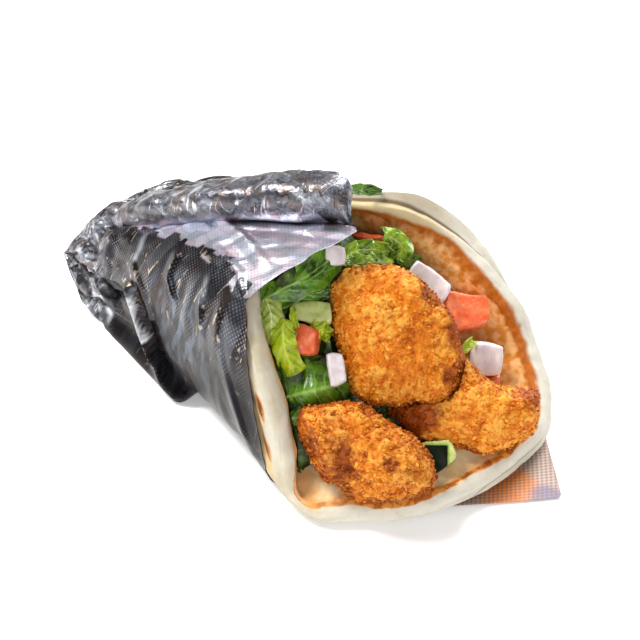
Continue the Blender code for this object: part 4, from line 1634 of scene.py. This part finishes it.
# ------------------------------------------------------------------ crumbed shrimp
@dataclass(frozen=True)
class CrumbedShrimp:
    """A crumbed and fried shrimp piece in the place of its CAD node.

    Swell, knobs, clumps and grain are (size, height), burns (centre, radius), dents (centre, radius,
    depth), and relief holds the weights of a constant, swell, knobs, clumps, grain and fine grain.
    """

    node: str
    toast_side: Triple
    toast: float = 0.5
    rim_toast: float = 0.55
    tan: float = 0.0
    burns: tuple[tuple[Triple, float], ...] = ()
    facing: Triple = TO_CAMERA
    voxel: float = 0.36
    rounding: int = 5
    shrink: float = 0.3
    swell: Pair = (6.0, 0.9)
    knobs: Pair = (2.2, 0.45)
    clumps: Pair = (1.7, 0.5)
    grain: Pair = (0.85, 0.3)
    dents: tuple[tuple[Triple, float, float], ...] = ()
    crumbs: int = 2400
    mean_lump: float = 0.62
    relief: tuple[float, ...] = (0.56, 0.3, 0.35, 0.5, 0.35, 0.2)

    def build(self) -> bpy.types.Object:
        """Coat the node's shape with crumbs.

        Returns:
            The piece's object.
        """
        piece, layout, normals = Bench.rounded(self.node, self.node + "_coat", self.voxel, self.rounding)
        swell, knobs = rough(layout, self.swell[0], 9.0), rough(layout, self.knobs[0], 1.3)
        grain = lumps(layout + knobs[:, None], self.grain[0], 4.1) - self.mean_lump
        fine = rough(layout, 0.55 * self.grain[0], 2.7)
        clumps = lumps(layout + 1.2 * knobs[:, None], self.clumps[0], 6.6) - self.mean_lump
        height = self.swell[1] * swell + self.knobs[1] * knobs + self.clumps[1] * clumps - self.shrink
        height = height + self.grain[1] * (grain + 0.6 * fine)
        for centre, radius, depth in self.dents:
            height = height - depth * hump(layout, centre, radius)
        layout = layout + normals * height[:, None]
        Bench.lay(piece, layout)
        relief = sum(share * part for share, part in zip(self.relief, (1.0, swell, knobs, clumps, grain, fine)))
        Bench.mark(piece, relief=np.clip(relief, 0, 1), toast=self.toasting(layout, normals))
        Bench.smooth(piece)
        return piece

    def toasting(self, layout: Array, normals: Array) -> Array:
        """How brown the coat is, from 0 to 1.

        Args:
            layout: Places on the coat in the wrap's layout.
            normals: The coat's normals there.

        Returns:
            One value for each place.
        """
        side = np.array(self.toast_side) / np.linalg.norm(self.toast_side)
        brown = self.tan + self.toast * ease(normals @ side, 0.0, 0.9)
        brown = brown + self.rim_toast * (1 - np.abs(normals @ np.array(self.facing))) ** 2
        for centre, radius in self.burns:
            brown = np.maximum(brown, 1.5 * hump(layout, centre, radius))
        for centre, radius, _ in self.dents:
            brown = brown + 0.5 * hump(layout, centre, radius)
        return brown


@dataclass(frozen=True)
class LooseCrumbs:
    """Bigger crumbs that stand out of the coats, copies of a few modelled ones."""

    size: Pair = (0.26, 0.75)
    kinds: int = 4
    seed: int = 7
    sink: float = 0.12
    stretch: Triple = (1.15, 0.85, 0.6)
    jag: float = 0.4
    shades: Pair = (0.35, 1.0)
    toast_spread: Pair = (-0.15, 0.15)
    sharp: float = 35.0

    def _model(self, kind: int) -> tuple[Array, Array]:
        """One angular crumb of radius 1.

        Args:
            kind: Number that gives the crumb its own shape.

        Returns:
            Its vertices and its triangles.
        """
        bpy.ops.object.select_all(action="DESELECT")
        bpy.ops.mesh.primitive_ico_sphere_add(subdivisions=1, radius=1)
        crumb = bpy.context.object
        with Bench.editing(crumb):
            bpy.ops.transform.resize(value=self.stretch, center_override=(0, 0, 0))
            bpy.ops.transform.vertex_random(offset=self.jag, seed=kind + 3)
        corners = np.array([face.vertices[:] for face in crumb.data.polygons])
        places = Bench.places(crumb)
        bpy.data.objects.remove(crumb)
        return places, corners

    def build(self, coats: Sequence[tuple[CrumbedShrimp, bpy.types.Object]]) -> bpy.types.Object:
        """Scatter copies of the crumbs over the coats.

        Args:
            coats: Shrimp pieces with their objects.

        Returns:
            One object with all crumbs.
        """
        models = [self._model(kind) for kind in range(self.kinds)]
        dice = np.random.default_rng(self.seed)
        verts, faces, relief, toast = [], [], [], []
        for shrimp, coat in coats:
            layout, normals = Bench.surface(coat)
            edge = 1 - np.abs(normals @ np.array(shrimp.facing))
            chosen = dice.choice(len(layout), shrimp.crumbs, replace=False, p=(0.4 + edge) / (0.4 + edge).sum())
            brown = shrimp.toasting(layout[chosen], normals[chosen])
            for index, dark in zip(chosen, brown):
                places, corners = models[dice.integers(self.kinds)]
                spin = Matrix.Rotation(dice.uniform(0, math.tau), 3, Vector(dice.normal(size=3)))
                radius = self.size[0] + (self.size[1] - self.size[0]) * dice.random() ** 2
                middle = layout[index] + normals[index] * (radius * 0.4 - self.sink)
                faces.append(corners + len(verts) * len(places))
                verts.append(middle + places @ np.array(spin).T * radius)
                relief.append(np.full(len(places), dice.uniform(*self.shades)))
                toast.append(np.full(len(places), dark + dice.uniform(*self.toast_spread)))
        mesh = bpy.data.meshes.new("loose_crumbs")
        mesh.from_pydata(SKIN.to_frame(np.concatenate(verts)), [], np.concatenate(faces).tolist())
        piece = Bench.show("loose_crumbs", mesh)
        Bench.mark(piece, relief=np.concatenate(relief), toast=np.concatenate(toast))
        Bench.smooth(piece, self.sharp)
        return piece


# ------------------------------------------------------------------ vegetables
@dataclass(frozen=True)
class Diced:
    """A diced vegetable in the place of its CAD node.

    Bumps are (size, height), and rinds (direction, share of the way to that side where skin starts).
    """

    node: str
    voxel: float = 0.4
    rounding: int = 5
    bumps: Pair = (2.6, 0.22)
    rinds: tuple[tuple[Triple, float], ...] = ()
    rind_fade: float = 0.4

    def build(self) -> bpy.types.Object:
        """Round off the node's shape and roughen its cut faces.

        Returns:
            The piece's object.
        """
        piece, layout, normals = Bench.rounded(self.node, self.node + "_die", self.voxel, self.rounding)
        layout = layout + normals * (self.bumps[1] * rough(layout, self.bumps[0], 3.3))[:, None]
        Bench.lay(piece, layout)
        rind = np.ones(len(layout))
        for side, edge in self.rinds:
            reach = (layout - layout.mean(0)) @ np.array(side)
            rind = np.minimum(rind, ease(reach / reach.max(), edge - self.rind_fade, edge + self.rind_fade))
        Bench.mark(piece, rind=rind)
        Bench.smooth(piece)
        return piece


@dataclass(frozen=True)
class Leaf:
    """A lettuce leaf along a path, with a ruffled rim."""

    name: str
    path: tuple[Triple, ...]
    width: float
    tone: Tone
    facing: Triple = TO_CAMERA
    cup: float = 0.15
    ruffle: float = 0.12
    waves: float = 3.0
    ends: Pair = (0.45, 0.45)
    crease: float = 0.0
    crinkle: float = 0.07
    thick: float = 0.45
    columns: int = 14
    rows: int = 32

    def build(self) -> bpy.types.Object:
        """Lay a blade along the path and give it its thickness.

        Returns:
            The leaf's object.
        """
        leaf = Bench.sheet(self.name, self.columns, self.rows)
        flat = Bench.places(leaf)
        side, run = flat[:, 0], (flat[:, 1] + 1) / 2
        centre, across, out = self._spine(run)
        seed = float(sum(map(ord, self.name)) % 50)
        shore = np.stack([run * 5, np.sign(side) * 3, side * 0], -1)
        ends = self.ends[0] + (self.ends[1] - self.ends[0]) * run
        half = self.width / 2 * (ends + (1 - ends) * np.sin(np.pi * np.clip(run, 0, 1)) ** 0.6)
        half = half * (1 + 0.3 * rough(shore, 1.0, seed))
        frill = self.ruffle * self.width * side ** 2 * np.sin(math.tau * self.waves * run + 1.4 * np.sign(side) + seed)
        bend = self.cup * self.width * side ** 2 + self.crease * self.width * np.abs(side) + frill
        points = centre + across * (side * half)[:, None] + out * bend[:, None]
        crinkle = rough(points, self.width / 2.5, seed) + 0.5 * rough(points, self.width / 6, seed)
        points = points + out * (self.crinkle * self.width * crinkle)[:, None]
        Bench.mark(leaf, side=side, run=run)
        Bench.lay(leaf, points)
        Bench.finish(leaf, "SOLIDIFY", thickness=self.thick * MM, offset=0.0)
        Bench.finish(leaf, "SUBSURF", levels=1, render_levels=1)
        Bench.smooth(leaf)
        return leaf

    def _spine(self, run: Array) -> tuple[Array, Array, Array]:
        """The leaf's middle line.

        Args:
            run: Places along it, from 0 to 1.

        Returns:
            Its points, the directions across the blade and those out of it.
        """
        marks = np.linspace(0, 1, len(self.path))
        centre, ahead = (np.stack([smooth_through(list(zip(marks, axis)), run + step) for axis in zip(*self.path)], -1)
                         for step in (0.0, 0.01))
        ahead = ahead - centre
        ahead /= np.linalg.norm(ahead, axis=1, keepdims=True)
        across = np.cross(np.array(self.facing), ahead)
        across /= np.linalg.norm(across, axis=1, keepdims=True)
        return centre, across, np.cross(ahead, across)


@dataclass(frozen=True)
class Salad:
    """The heap: a core a little smaller than its CAD node, with leaves over it."""

    shrink: float = 1.6
    voxel: float = 0.9
    relief: float = 1.1
    hollows: tuple[tuple[Triple, float, float], ...] = (
        ((32, -36.5, 50), 8.0, 10.0), ((17, 4, 52), 6.0, 3.5), ((25, -20, 59), 5.0, 2.5))
    rounding: int = 4
    leaves: tuple[Leaf, ...] = (
        Leaf("leaf_upper", ((18.4, -43.9, 50.2), (22.4, -40.1, 54.2), (25.6, -32, 57), (26.3, -24.4, 58.2),
                            (24.7, -15.8, 60.6)), 10.5, Tone.DEEP, cup=-0.08, waves=2, ends=(0.75, 0.5),
             crease=-0.14, crinkle=0.06),
        Leaf("leaf_upper_back", ((16.3, -39, 51), (22.3, -33.5, 56.8), (24, -24, 58.9), (21.5, -14.3, 60)), 7,
             Tone.DEEP, cup=0.2),
        Leaf("leaf_fold", ((22.3, -36, 48.1), (25.5, -30.7, 49.9), (28.7, -22.8, 50.8)), 6.5, Tone.DEEP, cup=-0.1),
        Leaf("leaf_stem", ((21.4, -42.1, 53.3), (25, -43.5, 50.3), (26.9, -45, 45.7), (28.2, -44.7, 41.5)), 7.5,
             Tone.PALE, cup=-0.3, ruffle=0.02, ends=(0.8, 0.7), crinkle=0.03),
        Leaf("leaf_left", ((28, -41.5, 49.4), (30.8, -44.3, 46.6), (33.3, -45.6, 42), (36.4, -44.6, 35.1)), 7.4,
             Tone.YELLOW, cup=-0.05, waves=2.5, ends=(0.35, 1.0), crease=-0.2, ruffle=0.16),
        Leaf("leaf_left_back", ((26.1, -44.4, 40.5), (30, -44.9, 36.4), (33.7, -44.6, 31.7)), 6, Tone.DEEP, cup=0.2),
        Leaf("leaf_broad", ((36.5, -49, 29.5), (40.6, -45.2, 31.5), (43.5, -40.1, 32.1), (45.5, -31.6, 30.3)), 21,
             Tone.DEEP, cup=-0.05, ruffle=0.06, waves=2.5, ends=(0.15, 0.75), crease=-0.2, crinkle=0.05),
        Leaf("leaf_curl", ((30.8, -33.8, 43.9), (34.5, -33.3, 44.3), (35.8, -30.6, 40.6)), 6, Tone.YELLOW,
             ruffle=0.3, waves=3, cup=-0.2),
        Leaf("leaf_strip", ((26.9, -36.6, 50.2), (28.9, -38.5, 48.4), (30.5, -38.6, 45.6)), 2.2, Tone.YELLOW, cup=0.2),
        Leaf("leaf_ruffle", ((27.7, -17.1, 55.2), (25.4, -12.2, 55.8), (25.4, -6.8, 54.8), (26.6, -1.4, 52.6),
                             (27.6, 1.4, 50)), 6, Tone.FRESH, cup=0.1, ruffle=0.4, waves=4.5, ends=(0.7, 0.6),
             crinkle=0.12),
        Leaf("leaf_ruffle_low", ((27.8, -16.3, 54.2), (28.7, -10.6, 53.6), (29.4, -3.7, 50.9), (29.6, 2.3, 47.9)), 4.5,
             Tone.FRESH, cup=-0.2, ruffle=0.25, waves=3),
        Leaf("leaf_ruffle_end", ((24.5, 3.1, 54.8), (25.9, 6.8, 51.9), (27.2, 8.3, 48.9), (28.3, 5, 46.6)), 6.5,
             Tone.FRESH, cup=-0.2, ruffle=0.35, waves=3.5, ends=(0.6, 0.6), crinkle=0.09),
        Leaf("leaf_flat", ((26.7, 6.3, 46), (27.2, 11.2, 43.4), (28.1, 15.8, 40.1)), 5, Tone.DEEP, cup=0.1,
             ruffle=0.05),
        Leaf("leaf_hollow", ((24.3, -8.7, 53.4), (24.5, -2.1, 50.9), (25.3, 4.1, 47.6)), 7, Tone.DEEP, cup=0.2),
        Leaf("leaf_tip", ((12.1, -2.2, 67.4), (12.6, 2.3, 66), (13.1, 7.4, 63.7), (14.3, 12.4, 61.3)), 3.5, Tone.DEEP,
             cup=0.2, crinkle=0.12),
        Leaf("leaf_shred", ((57, 3, 28.5), (57, 7, 29.3), (56, 9.6, 29)), 3, Tone.YELLOW, cup=0.3, ruffle=0.2),
        Leaf("leaf_low", ((40, -50, 24), (43, -45, 25), (45.5, -39, 25), (46, -32, 24)), 8, Tone.DEEP, cup=-0.2),
    )

    def build_core(self) -> bpy.types.Object:
        """Shrink the heap's solid and roughen it.

        Returns:
            The core's object.
        """
        core, layout, normals = Bench.rounded("salad", "salad_core", self.voxel, self.rounding)
        height = self.relief * rough(layout, 4.5, 7.7) - self.shrink
        hollow = sum(depth * hump(layout, centre, radius) for centre, radius, depth in self.hollows)
        Bench.lay(core, layout + normals * height[:, None] + np.array(FROM_CAMERA) * hollow[:, None])
        Bench.smooth(core)
        return core


# ------------------------------------------------------------------ camera and light
@dataclass(frozen=True)
class Studio:
    """Pale floor, soft light and a camera at the photograph's angle."""

    azimuth: float = 46.0
    elevation: float = 38.0
    lens: float = 85.0
    camera_place: Triple = (279.0, -269.4, 313.5)
    floor_size: float = 6.0
    floor_z: float = -0.0002
    nearest: float = 0.01
    sky: tuple[tuple[float, Colour], ...] = ((0.1, (0.3, 0.3, 0.33, 1.0)), (0.8, (1.0, 1.0, 1.0, 1.0)))
    sky_strength: float = 0.5
    lamps: tuple[tuple[str, Triple, float, float, Colour], ...] = (
        ("key", (-0.45, -0.2, 0.75), 0.35, 11.0, (1.0, 0.97, 0.92, 1.0)),
        ("back", (-0.15, 0.7, 0.5), 0.4, 7.0, (0.94, 0.96, 1.0, 1.0)),
        ("fill", (0.75, -0.55, 0.4), 0.6, 4.0, (1.0, 0.98, 0.95, 1.0)))

    def _sky(self) -> bpy.types.World:
        """Room light that is darker near the floor, so that the foil has something to mirror.

        Returns:
            The world.
        """
        world = bpy.data.worlds.new("studio")
        world.use_nodes = True
        nodes, links = world.node_tree.nodes, world.node_tree.links
        axes, ramp = nodes.new("ShaderNodeSeparateXYZ"), nodes.new("ShaderNodeValToRGB")
        links.new(nodes.new("ShaderNodeTexCoord").outputs["Generated"], axes.inputs[0])
        links.new(axes.outputs["Z"], ramp.inputs[0])
        links.new(ramp.outputs[0], nodes["Background"].inputs["Color"])
        for stop, (place, colour) in zip(ramp.color_ramp.elements, self.sky):
            stop.position, stop.color = place, colour
        nodes["Background"].inputs["Strength"].default_value = self.sky_strength
        return world

    def build(self) -> None:
        """Set up the floor, the lamps, the world and the camera."""
        bpy.ops.object.select_all(action="DESELECT")
        bpy.ops.mesh.primitive_plane_add(size=self.floor_size, location=(0, 0, self.floor_z))
        floor = bpy.context.object
        floor.name = "floor"
        floor.data.materials.append(FloorFinish().material())
        for name, place, size, power, colour in self.lamps:
            lamp = bpy.data.lights.new(name, "AREA")
            lamp.size, lamp.energy, lamp.color = size, power, colour[:3]
            holder = Bench.show(name, lamp)
            holder.location = place
            holder.rotation_euler = (-Vector(place)).to_track_quat("-Z", "Y").to_euler()
        bpy.context.scene.world = self._sky()
        lens = bpy.data.cameras.new("camera")
        lens.lens = self.lens
        lens.clip_start = self.nearest
        camera = Bench.show("camera", lens)
        camera.location = SKIN.to_frame(np.array(self.camera_place))
        camera.rotation_euler = (math.radians(90 - self.elevation), 0, math.radians(self.azimuth))
        bpy.context.scene.camera = camera
        bpy.context.scene.view_settings.view_transform = "Standard"


# ------------------------------------------------------------------ the whole wrap
@dataclass(frozen=True)
class Wrap:
    """All pieces of the wrap."""

    bread: Flatbread = Flatbread()
    foil: FoilSheet = FoilSheet()
    shrimps: tuple[CrumbedShrimp, ...] = (
        CrumbedShrimp("shrimp_top", (0.9, 0.5, -0.1), 0.5, 0.8, 0.08,
                      (((61, -5, 42), 4.5), ((65, -12, 33), 4.0), ((59, -2, 47), 3.0))),
        CrumbedShrimp("shrimp_left", (-0.7, -0.2, -0.6), 0.5, 0.5, 0.48, (((73, -43, 23), 2.5),),
                      dents=(((55, -44, 27), 3.4, 2.8), ((58, -47, 23.5), 3.4, 3.3), ((61, -50, 19.5), 3.4, 3.0))),
        CrumbedShrimp("shrimp_right", (-0.5, -0.6, -0.6), 0.7, 0.7, -0.05,
                      (((82.5, 6.5, 27.5), 5.5), ((61, -23, 22), 9.0))))
    crumbs: LooseCrumbs = LooseCrumbs()
    salad: Salad = Salad()
    tomatoes: tuple[Diced, ...] = tuple(Diced(f"tomato_{i}", rounding=9, bumps=(3.2, 0.4)) for i in range(1, 5))
    onions: tuple[Diced, ...] = tuple(Diced(f"onion_{i}", rounding=3) for i in range(1, 5))
    cucumbers: tuple[Diced, ...] = (
        Diced("cucumber_1", rinds=((VIEW_LEFT, -0.5), (VIEW_DOWN, -0.5))),
        Diced("cucumber_2", rinds=(((-0.5, 0.3, 0.8), 0.68),)))

    def build(self) -> None:
        """Build and dress every piece in order."""
        Bench.hand_over(self.bread.build(), "bread", BreadFinish().material(), "bread")
        Bench.hand_over(self.foil.build(), "foil", FoilFinish().material(), "foil")
        crumb = CrumbFinish().material()
        coats = [(shrimp, shrimp.build()) for shrimp in self.shrimps]
        for shrimp, coat in coats:
            Bench.hand_over(coat, "shrimp", crumb, shrimp.node)
        Bench.hand_over(self.crumbs.build(coats), "shrimp", crumb)
        Bench.hand_over(self.salad.build_core(), "salad", CoreFinish().material(), "salad")
        greens = {tone: LeafFinish(tone).material() for tone in Tone}
        for leaf in self.salad.leaves:
            Bench.hand_over(leaf.build(), "salad", greens[leaf.tone])
        for slot, finish, pieces in (("tomato", TomatoFinish(), self.tomatoes), ("onion", OnionFinish(), self.onions),
                                     ("cucumber", CucumberFinish(), self.cucumbers)):
            material = finish.material()
            for die in pieces:
                Bench.hand_over(die.build(), slot, material, die.node)


def main() -> None:
    """Build the wrap and its studio, and note the sizes of the looks."""
    logging.basicConfig(level=logging.INFO, format="%(name)s %(message)s")
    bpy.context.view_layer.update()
    Wrap().build()
    Studio().build()


if __name__ == "__main__":
    main()
